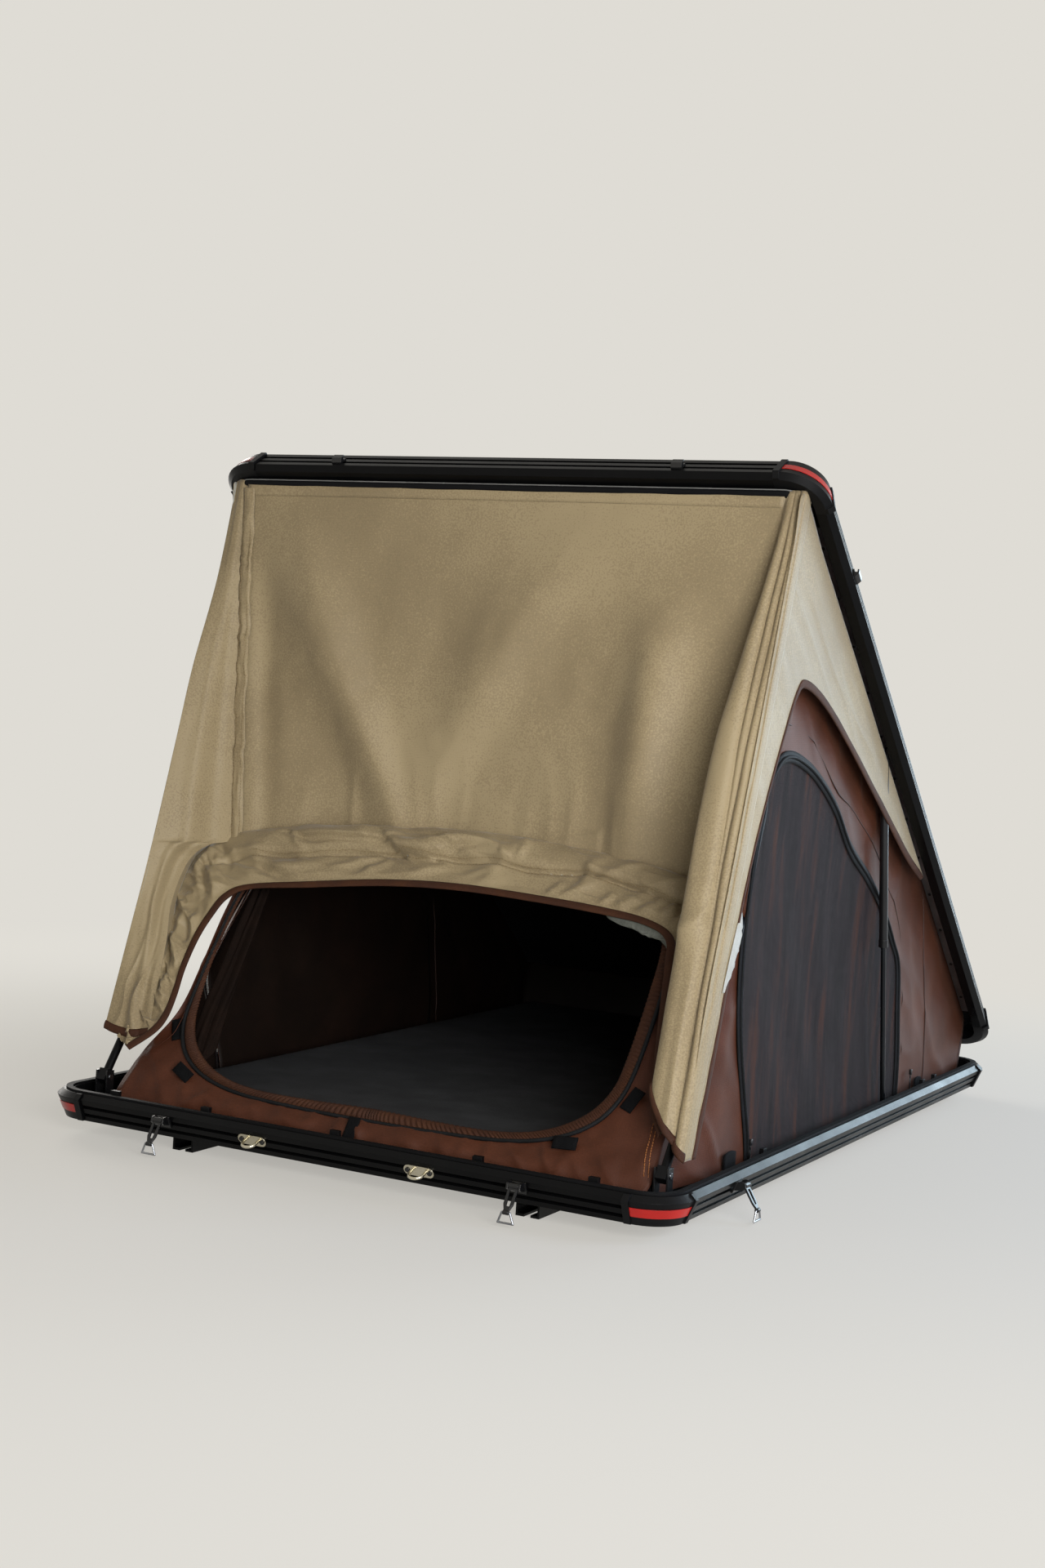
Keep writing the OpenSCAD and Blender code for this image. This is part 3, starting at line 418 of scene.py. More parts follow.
def stitchRows(name, point, places, *look, **sizes):  # rows side by side, at these places across the seam
    for i, f in enumerate(places):
        stitches("%s_%d" % (name, i), lambda t: point(t, f), *look, **sizes)


# camera, from the photo's perspective
view = {"at": (2.2187, -4.6569, 1.0011), "yaw": 0.4755, "down": 0.0448, "roll": 0.0672, "lens": 50.24}


def makeCamera():
    a, d, r = view["yaw"], view["down"], view["roll"]
    ahead = Vector((-sin(a) * cos(d), cos(a) * cos(d), -sin(d)))
    right = Vector((cos(a), sin(a), 0))
    up = right.cross(ahead)
    right, up = cos(r) * right + sin(r) * up, cos(r) * up - sin(r) * right
    cam = bpy.data.cameras.new("camera")
    cam.sensor_width, cam.lens, cam.sensor_fit = 36.0, view["lens"], "AUTO"
    obj = bpy.data.objects.new("camera", cam)
    obj.matrix_world = Matrix((right, up, -ahead)).transposed().to_4x4()
    obj.location = view["at"]
    scene.collection.objects.link(obj)
    scene.camera = obj


makeCamera()
print("camera set")

# flysheet: front panel, hung from the lid to the ridge of the hood
flyFront = {
    "topHalf": 0.65, "lowLeft": 0.578, "lowRight": 0.606, "topReach": 2.103, "ridge": 0.708, "drop": 0.27,
    "proud": 0.007,
    # place along the width at top, middle and foot, width on its left and right, depth, start
    "folds": [
        ((0.085, 0.212, 0.345), 0.075, 0.045, 0.046, 0.02), ((0.66, 0.515, 0.385), 0.105, 0.062, 0.027, 0.0),
        ((0.83, 0.82, 0.808), 0.055, 0.055, 0.042, 0.14), ((0.035, 0.045, 0.06), 0.02, 0.034, -0.016, 0.03),
        ((0.4, 0.42, 0.44), 0.08, 0.08, -0.008, 0.1)],
    "tuck": {"from": 0.62, "to": 0.758, "low": 0.985, "high": 0.905, "step": 0.01}, "crinkle": 0.006,
}


def ridgeAlong(x, proud):
    return byHoop(x, flyFront["ridge"] - flyFront["drop"] * x * x, proud)


def seamCrinkle(side, f):  # puckers along the seams to the corners
    return rumple((f * 3.4, 0.1, side), 0.13) + 0.6 * rumple((f * 3.4, 0.5, side * 2.0), 0.055)


def flyFrontPoint(u, f):
    a = 2 * u - 1
    x = a * (flyFront["topHalf"] + (flyFront["lowLeft" if a < 0 else "lowRight"] - flyFront["topHalf"]) * f)
    p = underLid(x, flyFront["topReach"], -0.002).lerp(ridgeAlong(x, flyFront["proud"]), f)
    free = sin(pi * min(1, f * 0.97)) ** 0.5 * (1 - abs(a) ** 12)
    d = 0.0
    for (top, mid, low), left, right, deep, start in flyFront["folds"]:
        c = alongCurve([(top, 0), (mid, 0), (low, 0)], f).x
        w = (left if u < c else right) * (1.3 - 0.55 * f)
        d += deep * exp(-((u - c) / w) ** 2) * ease((f - start) / 0.4)
    d += 0.007 * rumple((a * 1.3, f * 1.4, 0.3), 0.32) + 0.0018 * rumple((a * 1.2, f * 1.6, 1.7), 0.09)
    near = ease((f - 0.74) / 0.24)  # puckers that run up from the ridge
    d += near * 0.010 * (crease((a * 2.8, f * 0.6, 4.1), 0.42) - 0.3)
    tuck = flyFront["tuck"]
    if tuck["from"] < u < tuck["to"]:  # a small laid tuck
        k = (u - tuck["from"]) / (tuck["to"] - tuck["from"])
        line = tuck["low"] + (tuck["high"] - tuck["low"]) * k
        d += tuck["step"] * ease((f - line) / 0.02) * ease((tuck["to"] - u) / 0.010)
    p.y -= d * free
    edge = exp(-u / 0.030) + 0.6 * exp(-(1 - u) / 0.030)
    p.y -= flyFront["crinkle"] * edge * seamCrinkle(-1 if u < 0.5 else 1, f) * sin(pi * f) ** 0.5
    return p


obj = makeSheet("flyFrontPanel", gridMesh(200, 130, flyFrontPoint), canvas, towardsFront, "fly_front")
declareSheet(obj, 1.30, 0.80, "hung", ["lid_rail_front", "flyHoodBand"])


def onSheet(sheet, u, f, lift):  # point raised off a sheet, the sheet's outward side, and the way down it
    along = sheet(min(1, u + 0.004), f) - sheet(max(0, u - 0.004), f)
    down = (sheet(u, min(1, f + 0.02)) - sheet(u, max(0, f - 0.02))).normalized()
    out = along.cross(down).normalized()
    out = out if out.y < 0 else -out
    return sheet(u, f) + out * lift, out, down


tapeAlong("flyTopHem", lambda u: onSheet(flyFrontPoint, 0.004 + 0.992 * u, 0.024, 0.0006), 0.034, tanCanvas,
          "tan_cloth", 120, 0.0018)
stitchRows("flyHemStitch", lambda t, f: onSheet(flyFrontPoint, 0.01 + 0.98 * t, f, 0.0016)[0], (0.036, 0.042),
           1.27, tanThread, "tan_cloth")
print("flysheet front hung")

# hood over the door: lower edge is bound, upper edge lies on the hoop; points are x and the way up its legs
hood = {
    "low": [
        (-0.6, 0.095), (-0.556, 0.141), (-0.541, 0.18), (-0.542, 0.236), (-0.55, 0.3), (-0.55, 0.372),
        (-0.54, 0.43), (-0.521, 0.48), (-0.474, 0.509), (-0.34, 0.53), (-0.15, 0.557), (0.02, 0.567), (0.2, 0.562),
        (0.37, 0.551), (0.47, 0.537), (0.524, 0.508), (0.54, 0.45), (0.56, 0.35), (0.58, 0.25), (0.6, 0.16),
        (0.632, 0.1)],
    "high": [
        (-0.655, 0.13), (-0.664, 0.185), (-0.672, 0.24), (-0.68, 0.31), (-0.684, 0.38), (-0.685, 0.45),
        (-0.685, 0.515), (-0.684, 0.58), (-0.64, 0.634), (-0.42, 0.682), (-0.18, 0.709), (0.0, 0.717),
        (0.18, 0.709), (0.4, 0.684), (0.585, 0.64), (0.65, 0.56), (0.663, 0.47), (0.663, 0.39), (0.66, 0.31),
        (0.657, 0.24), (0.655, 0.17)],
    "length": 2.25, "stand": 0.018, "roll": 0.022, "creases": 0.011, "pucker": 0.005,
    "seam": [
        (-0.6, 0.56), (-0.537, 0.589), (-0.38, 0.602), (-0.258, 0.625), (-0.126, 0.637), (-0.057, 0.634),
        (0.068, 0.644), (0.161, 0.634), (0.292, 0.639), (0.4, 0.622), (0.5, 0.6)],
    # folds that lie in the cloth: height, width on its left and right, line
    "folds": [
        (0.014, 0.016, 0.01, [(-0.622, 0.601), (-0.644, 0.548)]),
        (0.01, 0.008, 0.01, [(-0.644, 0.558), (-0.59, 0.479)]),
        (0.011, 0.01, 0.012, [(-0.6, 0.544), (-0.543, 0.484)]),
        (-0.008, 0.008, 0.008, [(-0.625, 0.535), (-0.58, 0.478)]),
        (-0.012, 0.01, 0.01, [(-0.602, 0.608), (-0.554, 0.561)]),
        (-0.01, 0.014, 0.008, [(-0.561, 0.577), (-0.477, 0.562), (-0.389, 0.535)]),
        (0.01, 0.02, 0.01, [(-0.558, 0.597), (-0.441, 0.577), (-0.36, 0.558)]),
        (0.012, 0.009, 0.012, [(-0.619, 0.426), (-0.603, 0.361), (-0.581, 0.305)]),
        (-0.008, 0.008, 0.008, [(-0.6, 0.416), (-0.58, 0.355)]),
        (0.01, 0.008, 0.01, [(-0.58, 0.438), (-0.568, 0.379)]),
        (0.01, 0.008, 0.01, [(-0.589, 0.281), (-0.57, 0.212)]),
        (-0.01, 0.01, 0.01, [(-0.625, 0.37), (-0.59, 0.26)]),
        (0.008, 0.006, 0.008, [(-0.582, 0.332), (-0.57, 0.292)]),
        (0.024, 0.03, 0.005, [(-0.416, 0.654), (-0.353, 0.649), (-0.183, 0.668)]),
        (0.026, 0.028, 0.005, [(-0.185, 0.672), (-0.147, 0.646), (-0.056, 0.631)]),
        (0.01, 0.006, 0.01, [(-0.416, 0.654), (-0.374, 0.612)]),
        (0.025, 0.007, 0.024, [(-0.092, 0.664), (-0.005, 0.684), (0.074, 0.679)]),
        (-0.01, 0.005, 0.01, [(-0.057, 0.633), (0.01, 0.668), (0.06, 0.675)]),
        (0.009, 0.012, 0.01, [(-0.288, 0.584), (-0.181, 0.629)]),
        (0.008, 0.009, 0.011, [(-0.226, 0.568), (-0.156, 0.622)]),
        (0.009, 0.014, 0.01, [(-0.439, 0.562), (-0.327, 0.589)]),
        (0.007, 0.006, 0.006, [(0.098, 0.68), (0.108, 0.651)]),
        (0.009, 0.006, 0.008, [(0.147, 0.685), (0.144, 0.655)]),
        (0.01, 0.016, 0.012, [(0.316, 0.675), (0.292, 0.596)]),
        (0.01, 0.01, 0.012, [(0.488, 0.605), (0.439, 0.553)]),
        (0.008, 0.007, 0.008, [(0.509, 0.594), (0.496, 0.565)]),
        (0.008, 0.008, 0.01, [(0.375, 0.601), (0.352, 0.566)]),
        (0.008, 0.01, 0.01, [(0.256, 0.611), (0.23, 0.579)]), (0.01, 0.01, 0.014, [(0.56, 0.6), (0.53, 0.53)]),
        (-0.008, 0.01, 0.01, [(0.545, 0.61), (0.505, 0.54)]), (0.006, 0.012, 0.01, [(0.02, 0.6), (0.09, 0.632)]),
        (0.006, 0.01, 0.01, [(-0.1, 0.592), (-0.02, 0.622)])],
    # stretch of its length that lies along the top
    "crown": (0.36, 0.8),
}


def hoodSeam(x):  # height of the sewn line
    keys = hood["seam"]
    for (ax, ay), (bx, by) in zip(keys, keys[1:]):
        if x < bx:
            return ay + (by - ay) * max(0, (x - ax) / (bx - ax))
    return keys[-1][1]


def hoodBase(u, f):
    low, high = alongCurve(hood["low"], u), alongCurve(hood["high"], u)
    p = low.lerp(high, f)
    t = 0.012 + hood["stand"] * (1 - f) ** 1.4
    # along the top the cloth is rolled over the hoop
    crown = ease((u - 0.37) / 0.06) * (1 - ease((u - 0.77) / 0.05))
    k = min(1, max(0, (p.y - hoodSeam(p.x)) / max(0.02, high.y - hoodSeam(high.x))))
    return p, t + hood["roll"] * (crown * sqrt(max(0, 1 - (2 * k - 1) ** 2)) + (1 - crown) * 0.35 * sin(pi * f))


def hoodPoint(u, f):
    p, t = hoodBase(u, f)
    arc = u * hood["length"]
    slack = ease((f - 0.06) / 0.16) * (1 - ease((f - 0.92) / 0.08))
    for high, left, right, line in hood["folds"]:
        t += slack * high * foldAt(p.x, p.y, line, left, right)
    t += slack * hood["creases"] * (crease((arc - 0.12 * f, f * 0.05, 0), 0.115) - 0.35)
    t += slack * 0.5 * hood["creases"] * (crease((arc + 0.09 * f, f * 0.09, 3.0), 0.050) - 0.35)
    if hood["crown"][0] < u < hood["crown"][1]:  # gathered by the stitching above the sewn line
        above = p.y - hoodSeam(p.x)
        pull = abs(sin(pi * (p.x + 0.35 * above + 0.006 * rumple((p.x, above, 2.0), 0.05)) / 0.017))
        uneven = 0.4 + 0.6 * ease(0.5 + rumple((p.x, 0, 5), 0.12))
        t += slack * hood["pucker"] * pull * exp(-((above - 0.014) / 0.013) ** 2) * uneven
        t -= 0.006 * slack * exp(-(above / 0.005) ** 2)
    return byHoop(p.x, p.y + 0.004 * slack * rumple((arc, f, 8.0), 0.06), t)


def onHood(x, s):  # the point of the hood over a place on the hoop's plane
    low, high = hood["crown"]
    for turn in range(24):
        u = (low + high) / 2
        a, b = alongCurve(hood["low"], u), alongCurve(hood["high"], u)
        f = min(1, max(0, (s - a.y) / (b.y - a.y)))
        if a.x + (b.x - a.x) * f < x:
            low = u
        else:
            high = u
    return hoodPoint(u, f)


obj = makeSheet("flyHoodBand", gridMesh(520, 54, hoodPoint), canvas, hoopOut, "fly_hood")
declareSheet(obj, 2.2, 0.16, "stretched", ["hoop_crossbar", "hoop_legs"])


def hoodEdge(u):
    (p, t), (q, r) = hoodBase(u, 0.0), hoodBase(u, 0.10)
    p, q = byHoop(p.x, p.y, t), byHoop(q.x, q.y, r)
    (a, r), (b, t) = hoodBase(max(0, u - 0.006), 0.0), hoodBase(min(1, u + 0.006), 0.0)
    across = (q - p).normalized()
    out = across.cross(byHoop(b.x, b.y, t) - byHoop(a.x, a.y, r)).normalized()
    out = out if out.dot(hoopOut) > 0 else -out
    return p + out * 0.0016 + across * 0.003, out, across


# the coated back of the cloth shows where the bound edge has turned out
hoodBack = {"from": 0.650, "to": 0.768, "deep": 0.022}


def hoodBackPoint(u, f):
    k = hoodBack["from"] + (hoodBack["to"] - hoodBack["from"]) * u
    low, high = alongCurve(hood["low"], k), alongCurve(hood["high"], k)
    deep = hoodBack["deep"] * f * sin(pi * u) ** 0.6 * (0.75 + 0.5 * rumple((u, 0.3, 4.0), 0.3))
    p = low + (low - high).normalized() * deep
    ripple = rumple((u * 0.4, f * 0.05, 6.0), 0.04) + crease((u * 0.4, f * 0.06, 2.0), 0.06)
    t = 0.026 - 0.016 * f + 0.006 * f * ripple
    return byHoop(p.x, p.y, t)


# the turned-out coat uses the darker copy of the coat, which is painted shade
obj = makeSheet("hoodTurnedEdge", gridMesh(90, 10, hoodBackPoint), oneSided(dullShadedBack, 0.0014, "tan_cloth"), hoopOut)
declareSheet(obj, 0.28, 0.020, "folded", ["flyHoodBand"])
tapeAlong("hoodBinding", hoodEdge, 0.018, bindingTape, "brown_cloth", 260, 0.0034)


def hoodStitch(t, f):
    x = -0.500 + 1.020 * t
    return onHood(x, hoodSeam(x) + f) + hoopOut * 0.0012


stitchRows("hoodStitch", hoodStitch, (-0.005, 0.004), 1.03, tanThread, "tan_cloth", 0.0075)
print("hood made")

# corners of the flysheet, from the lid corner down to the tray corner: the left one hangs as one broad
# panel, the right one is gathered in rolls
corner = {
    "x": 0.687,
    # at this height, counted from the top, the free edge begins
    "ridge": 5, "leftZ": [1.424, 1.2, 1.0, 0.85, 0.7, 0.62, 0.603, 0.575, 0.53, 0.467, 0.404, 0.34, 0.28, 0.217],
    "leftIn": [
        (0.607, -0.663), (0.634, -0.688), (0.641, -0.718), (0.632, -0.76), (0.612, -0.794), (0.599, -0.826),
        (0.588, -0.858), (0.567, -0.898)],
    "leftOut": [
        -0.53, -0.583, -0.655, -0.697, -0.739, -0.762, -0.767, -0.776, -0.79, -0.811, -0.832, -0.853, -0.873, -0.895],
    "bulge": 0.016, "wrap": 0.1, "tuck": 0.1,
    "right": {"top": 1.424, "lowIn": 0.262, "lowOut": 0.142, "wing": 0.26, "deep": 0.024},
    # place, half width and height of each roll from top to foot
    "rolls": [
        [(0.22, 0.18, 1.0), (0.28, 0.26, 1.0), (0.34, 0.36, 1.0), (0.35, 0.38, 1.0)],
        [(0.56, 0.15, 0.8), (0.62, 0.12, 0.75), (0.7, 0.06, 0.45), (0.74, 0.04, 0.2)],
        [(0.84, 0.13, 0.7), (0.84, 0.13, 0.75), (0.85, 0.14, 0.8), (0.86, 0.13, 0.7)]],
}


def panelEdge(z):  # left edge of the front panel, sewn to the corner
    top, low = flyFrontPoint(0, 0), flyFrontPoint(0, 1)
    p = flyFrontPoint(0, min(1, max(0, (top.z - z) / (top.z - low.z))))
    return Vector((-p.x, p.y, p.z))


leftInner = [panelEdge(z) for z in corner["leftZ"][:6]]
leftInner += [Vector((x, y, z)) for (x, y), z in zip(corner["leftIn"], corner["leftZ"][6:])]


def leftCornerPoint(u, f):
    n = len(corner["leftZ"]) - 1
    outer = alongCurve([(corner["x"], y, z) for y, z in zip(corner["leftOut"], corner["leftZ"])], f)
    inner = alongCurve(leftInner, f)
    if f * n < corner["ridge"]:
        inner = panelEdge(alongCurve([(z, 0) for z in corner["leftZ"]], f).x)
    free = ease((f * n - corner["ridge"]) / 1.6)  # below the ridge the inner edge hangs free and rolls under
    if u < corner["tuck"]:
        k = 1 - u / corner["tuck"]
        p = inner + Vector((0.018 * k * free, (0.004 + 0.040 * free) * k, 0))
        p.y -= 0.010 * free * sin(pi * k)
    elif u > 1 - corner["wrap"]:
        k = (u - 1 + corner["wrap"]) / corner["wrap"]
        p = outer + Vector((0.0012 * ease(k * 3), 0.030 * k, 0))
    else:
        o = (u - corner["tuck"]) / (1 - corner["tuck"] - corner["wrap"])
        p = inner.lerp(outer, o)
        full = sin(pi * o)
        d = corner["bulge"] * full * sin(pi * min(1, 0.15 + f)) * (0.6 + 0.4 * o)
        d += 0.010 * full * exp(-((o - 0.62 + 0.25 * f) / 0.13) ** 2) * ease(f * 3)
        d -= 0.007 * full * exp(-((o - 0.30 + 0.05 * f) / 0.10) ** 2) * ease(f * 2.5)
        d += 0.006 * full * rumple((o * 0.5, f * 1.1, 3.0), 0.30)
        d += 0.002 * full * rumple((o * 0.5, f * 1.2, 5.0), 0.08)
        d += 0.008 * full * crease((o * 0.22 + f * 0.3, f * 0.9 - o * 0.2, 9.0), 0.12) * ease((f - 0.72) / 0.2)
        p += Vector((-0.30, -0.95, 0)) * d
    p.z -= 0.014 * ease((f - 0.9) / 0.1) * sin(pi * u)  # the hem dips between its ends
    return Vector((-p.x, p.y, p.z))


# sewn line of the right corner: x at the lid, the ridge and the hood's shoulder, places of the last two by the hoop
rightSeam = {"topX": 0.650, "ridgeX": 0.614, "lowX": 0.666, "ridge": (0.700, 0.022), "low": (0.560, 0.026),
             "forward": 0.004, "foot": 0.014, "inward": 0.010 / 0.4}
rightFront = {"y": -0.570, "z": 1.351, "slope": 0.322}


def cornerSeam(z):
    top = underLid(0, flyFront["topReach"], -0.002)
    ridge, low = byHoop(0, *rightSeam["ridge"]), byHoop(0, *rightSeam["low"])
    ridgeY = ridge.y - rightSeam["forward"]
    if z > ridge.z:
        a = (top.z - z) / (top.z - ridge.z)
        x = rightSeam["topX"] + (rightSeam["ridgeX"] - rightSeam["topX"]) * a
        return Vector((x, top.y + (ridgeY - top.y) * a, z))
    if z > low.z:
        b = ease((ridge.z - z) / (ridge.z - low.z))
        x = rightSeam["ridgeX"] + (rightSeam["lowX"] - rightSeam["ridgeX"]) * b
        return Vector((x, ridgeY + (low.y - ridge.y) * b, z))
    lean = byHoop(0, (z - hoop["z"] - rightSeam["foot"]) / sin(hoop["angle"]), rightSeam["low"][1])
    return Vector((rightSeam["lowX"] - rightSeam["inward"] * (low.z - z), lean.y, z))


def frontEdge(z):
    return rightFront["y"] - rightFront["slope"] * (rightFront["z"] - z)


def rightCornerPoint(u, f):
    look = corner["right"]
    wing, wrap = look["wing"], corner["wrap"]
    o = min(1, max(0, (u - wing) / (1 - wing - wrap)))
    low = look["lowIn"] + (look["lowOut"] - look["lowIn"]) * o ** 0.8
    z = look["top"] + (low - look["top"]) * f
    q = cornerSeam(z)
    wide = 0.038 + 0.058 * ease(f * 2.0) - 0.010 * f * f
    y = frontEdge(z) + 0.014 * f + 0.006
    x0 = corner["x"] - wide
    if u < wing:
        h = u / wing
        p = Vector((q.x + (x0 - q.x) * h, q.y + (y - q.y) * h, z))
        p.x -= 0.014 * sin(pi * h) * sin(pi * min(1, f * 1.02)) * (0.7 + 0.6 * rumple((f * 1.2, h, 1), 0.5))
        p.y -= 0.6 * flyFront["crinkle"] * exp(-h / 0.25) * seamCrinkle(1, f) * sin(pi * min(1, f * 1.6)) ** 0.5
    elif u > 1 - wrap:
        k = (u - 1 + wrap) / wrap
        p = Vector((corner["x"] + 0.0012 * ease(k * 3), y + 0.006 + 0.030 * k, z))
    else:
        body = look["deep"] * min(1, 0.20 + 2.0 * f) * (1 - 0.30 * ease((f - 0.82) / 0.18))
        d = 0.0
        for i, keys in enumerate(corner["rolls"]):  # full rolls that drift and swell on their way down
            c, w, size = alongCurve(keys, f)
            c += 0.03 * rumple((f * 1.1, i * 3.0, 0.5), 0.40)
            w *= 1 + 0.15 * rumple((f * 1.1, i * 5.0, 2.5), 0.3)
            k = abs(o - c) / w
            d = max(d, size * sqrt(max(0.0, 1 - k * k)))
        # the foot opens into a flat panel
        d = d * (1 - 0.45 * ease((f - 0.70) / 0.15) * ease((0.62 - o) / 0.3))
        d += 0.30 * ease((f - 0.70) / 0.15) * ease((0.66 - o) / 0.15) * sin(pi * min(1, o * 1.4))
        p = Vector((x0 + wide * o, y - body * d + 0.006 * o, z))
        p.y -= 0.007 * exp(-((z - 0.560 - 0.05 * o) / 0.016) ** 2) * ease((0.66 - o) / 0.2)  # a kink across it
        p.y += 0.003 * rumple((o * 0.3, f * 1.1, 5.0), 0.10)
        p.x += 0.003 * rumple((o * 0.2, f * 1.1, 7.0), 0.15) * sin(pi * o)
    return p


# side, shape, the way it faces, place of its sewn edge
corners = [("left", leftCornerPoint, Vector((0.3, -1, 0)), 0.125),
           ("right", rightCornerPoint, Vector((0.2, -1, 0)), 0.030)]
for word, sheet, out, sewn in corners:
    obj = makeSheet("flyCorner_" + word, gridMesh(130, 160, sheet), canvas, out, "fly_corner_" + word)
    declareSheet(obj, 0.36, 1.2, "hung", ["lid_rail_front", "base_caps"])
    tapeAlong("cornerBinding_" + word, lambda u: onSheet(sheet, 0.10 + 0.80 * u, 0.994, 0.0016), 0.018, bindingTape,
              "brown_cloth", 110, 0.0026)
    stitches("cornerStitch_" + word, lambda t: onSheet(sheet, sewn, 0.02 + 0.33 * t, 0.0014)[0], 0.72, tanThread,
             "tan_cloth")


def seamBand(u, f):  # felled seam between the panel and the left corner, puckered by its thread
    z = 1.405 - 0.785 * u
    p = panelEdge(z)
    lift = 0.004 + 0.0035 * sin(pi * f) + 0.0040 * rumple((u * 0.8, f * 0.05, 3.0), 0.035) * f
    lift += 0.003 * rumple((u * 0.8, f, 1.0), 0.09)
    return Vector((-p.x - 0.006 + 0.030 * f + 0.003 * rumple((u * 0.8, 2.0, f), 0.06), p.y - lift, z))


obj = makeSheet("cornerSeamBand", gridMesh(8, 240, lambda f, u: seamBand(u, f)),
                oneSided(tanCanvas, canvas["thick"], "tan_cloth"), towardsFront)
declareSheet(obj, 0.030, 0.80, "stretched", ["flyFrontPanel"])
stitchRows("seamBandStitch", lambda t, f: seamBand(0.01 + 0.98 * t, f) + towardsFront * 0.0012, (0.22, 0.80), 0.78,
           tanThread, "tan_cloth")

# rubber lip under the lid's front rail, over the top of the cloth, with a thin moulded bead whose grey is partly a
# painted highlight
lip = {"half": 0.664, "turn": 0.050, "deep": 0.017, "front": 0.0030}


def lipEdge(u):
    x = (2 * u - 1) * (lip["half"] + lip["turn"] * 0.5)
    past = max(0, abs(x) - lip["half"] + lip["turn"] * 0.5) / lip["turn"]
    p = underLid(x, flyFront["topReach"], -0.001)
    return p + Vector((0, -lip["front"] + 0.030 * past ** 2, -0.010 * past ** 2))


def lipPoint(u, f):
    return lipEdge(u) + Vector((0, -0.004 * sin(pi * f), -lip["deep"] * f))


makeSheet("lidFrontLip", gridMesh(120, 5, lipPoint), oneSided(rubberSeal, 0.0020, "seal"), towardsFront)
bead = [lipEdge(i / 100) + Vector((0, -0.0030, -0.0015)) for i in range(101)]
tubeAlong("lidFrontBead", bead, 0.0014, highlightBeadPvc, "seal")
print("flysheet corners folded")

# sides of the flysheet: a strip down the front edge and along the lid
flySide = {
    "outer": [
        (-0.925, 0.142), (-0.874, 0.4), (-0.776, 0.7), (-0.68, 1.0), (-0.584, 1.3), (-0.543, 1.418), (-0.4, 1.302),
        (-0.23, 1.165), (-0.04, 1.011), (0.16, 0.848), (0.33, 0.709), (0.452, 0.611)],
    "inner": [
        (-0.872, 0.138), (-0.8, 0.345), (-0.735, 0.56), (-0.66, 0.745), (-0.562, 0.925), (-0.5, 1.018),
        (-0.452, 1.036), (-0.33, 1.0), (-0.15, 0.912), (0.11, 0.768), (0.3, 0.662), (0.434, 0.602)],
    "x": 0.6845, "leftBack": 0.046, "turned": {"high": 0.575, "low": 0.445, "wide": 0.034},
}


def flySidePoint(side, u, f):
    a, b = alongCurve(flySide["outer"], u), alongCurve(flySide["inner"], u)
    p = a.lerp(b, f)
    if side < 0:  # on the left it starts behind the broad corner panel
        p.x += flySide["leftBack"] * (1 - ease((u - 0.34) / 0.14))
        p.y += 0.085 * (1 - ease(u / 0.10))
    loose = sin(pi * f)
    along, across = p.x * 0.775 - p.y * 0.632, p.x * 0.632 + p.y * 0.775  # with the lid's slope
    x = flySide["x"] + loose * (0.0025 * rumple((along * 0.5, across * 3, side), 0.12)
                                + 0.0025 * crease((along * 0.35, across * 2.0, side * 2.0), 0.10) * ease(u * 2))
    return Vector((side * min(x, shell["innerX"] - 0.002), p.x, p.y))


for side, word in bothSides:
    out = Vector((side, 0, 0))
    obj = makeSheet("flySide_" + word, gridMesh(240, 34, lambda u, f: flySidePoint(side, u, f)), canvas, out,
                    "fly_side_" + word)
    declareSheet(obj, 2.2, 0.30, "stretched", ["lid_rail_" + word])

    def sideEdge(u):
        p = flySidePoint(side, u, 1.0)
        way = (flySidePoint(side, u, 0.93) - p).normalized()
        return p + out * 0.0012 + way * 0.006, out, way

    tapeAlong("sideBinding_" + word, sideEdge, 0.018, bindingTape, "brown_cloth", 200)


def turnedBack(u, f):  # a bit of the right edge that has turned over and shows its coat
    turned = flySide["turned"]
    z = turned["high"] + (turned["low"] - turned["high"]) * f
    y = -0.735 - 0.43 * (0.560 - z) - 0.012 + turned["wide"] * u * sin(pi * f ** 0.7) ** 0.7
    y += 0.006 * u * crease((u * 0.05, f * 0.2, 3.0), 0.04)
    x = flySide["x"] + 0.0022 + 0.002 * sin(pi * u) + 0.002 * u * crease((u * 0.06, f * 0.15, 1.0), 0.05)
    return Vector((x, y, z))


obj = makeSheet("turnedEdge", gridMesh(16, 40, turnedBack), oneSided(canvasBack, 0.0014, "tan_cloth"),
                Vector((1, 0, 0)))
declareSheet(obj, 0.13, 0.034, "folded", ["flySide_right"])
print("flysheet sides made")

# inner tent, front wall: a ring of cloth between its corner seams and the door; on the left it is pulled
# back to a narrow band
door = {
    "edge": [
        (0, 0.05), (0.15, 0.05), (0.3, 0.056), (0.4, 0.078), (0.47, 0.12), (0.508, 0.18), (0.52, 0.26),
        (0.522, 0.4), (0.515, 0.52), (0.48, 0.595), (0.395, 0.628), (0.22, 0.648), (0, 0.654)],
    "wall": [
        (0, -0.023), (0.2, -0.023), (0.4, -0.023), (0.56, -0.023), (0.622, 0.0), (0.626, 0.1), (0.634, 0.23),
        (0.64, 0.4), (0.636, 0.53), (0.612, 0.61), (0.54, 0.655), (0.3, 0.684), (0, 0.698)],
    "wallLeft": [
        (0, -0.023), (0.2, -0.023), (0.4, -0.023), (0.56, -0.023), (0.614, 0.0), (0.592, 0.11), (0.548, 0.215),
        (0.541, 0.33), (0.541, 0.47), (0.529, 0.59), (0.478, 0.66), (0.3, 0.684), (0, 0.698)],
    "under": -0.0105, "gathers": 340, "zipAt": 0.009,
}


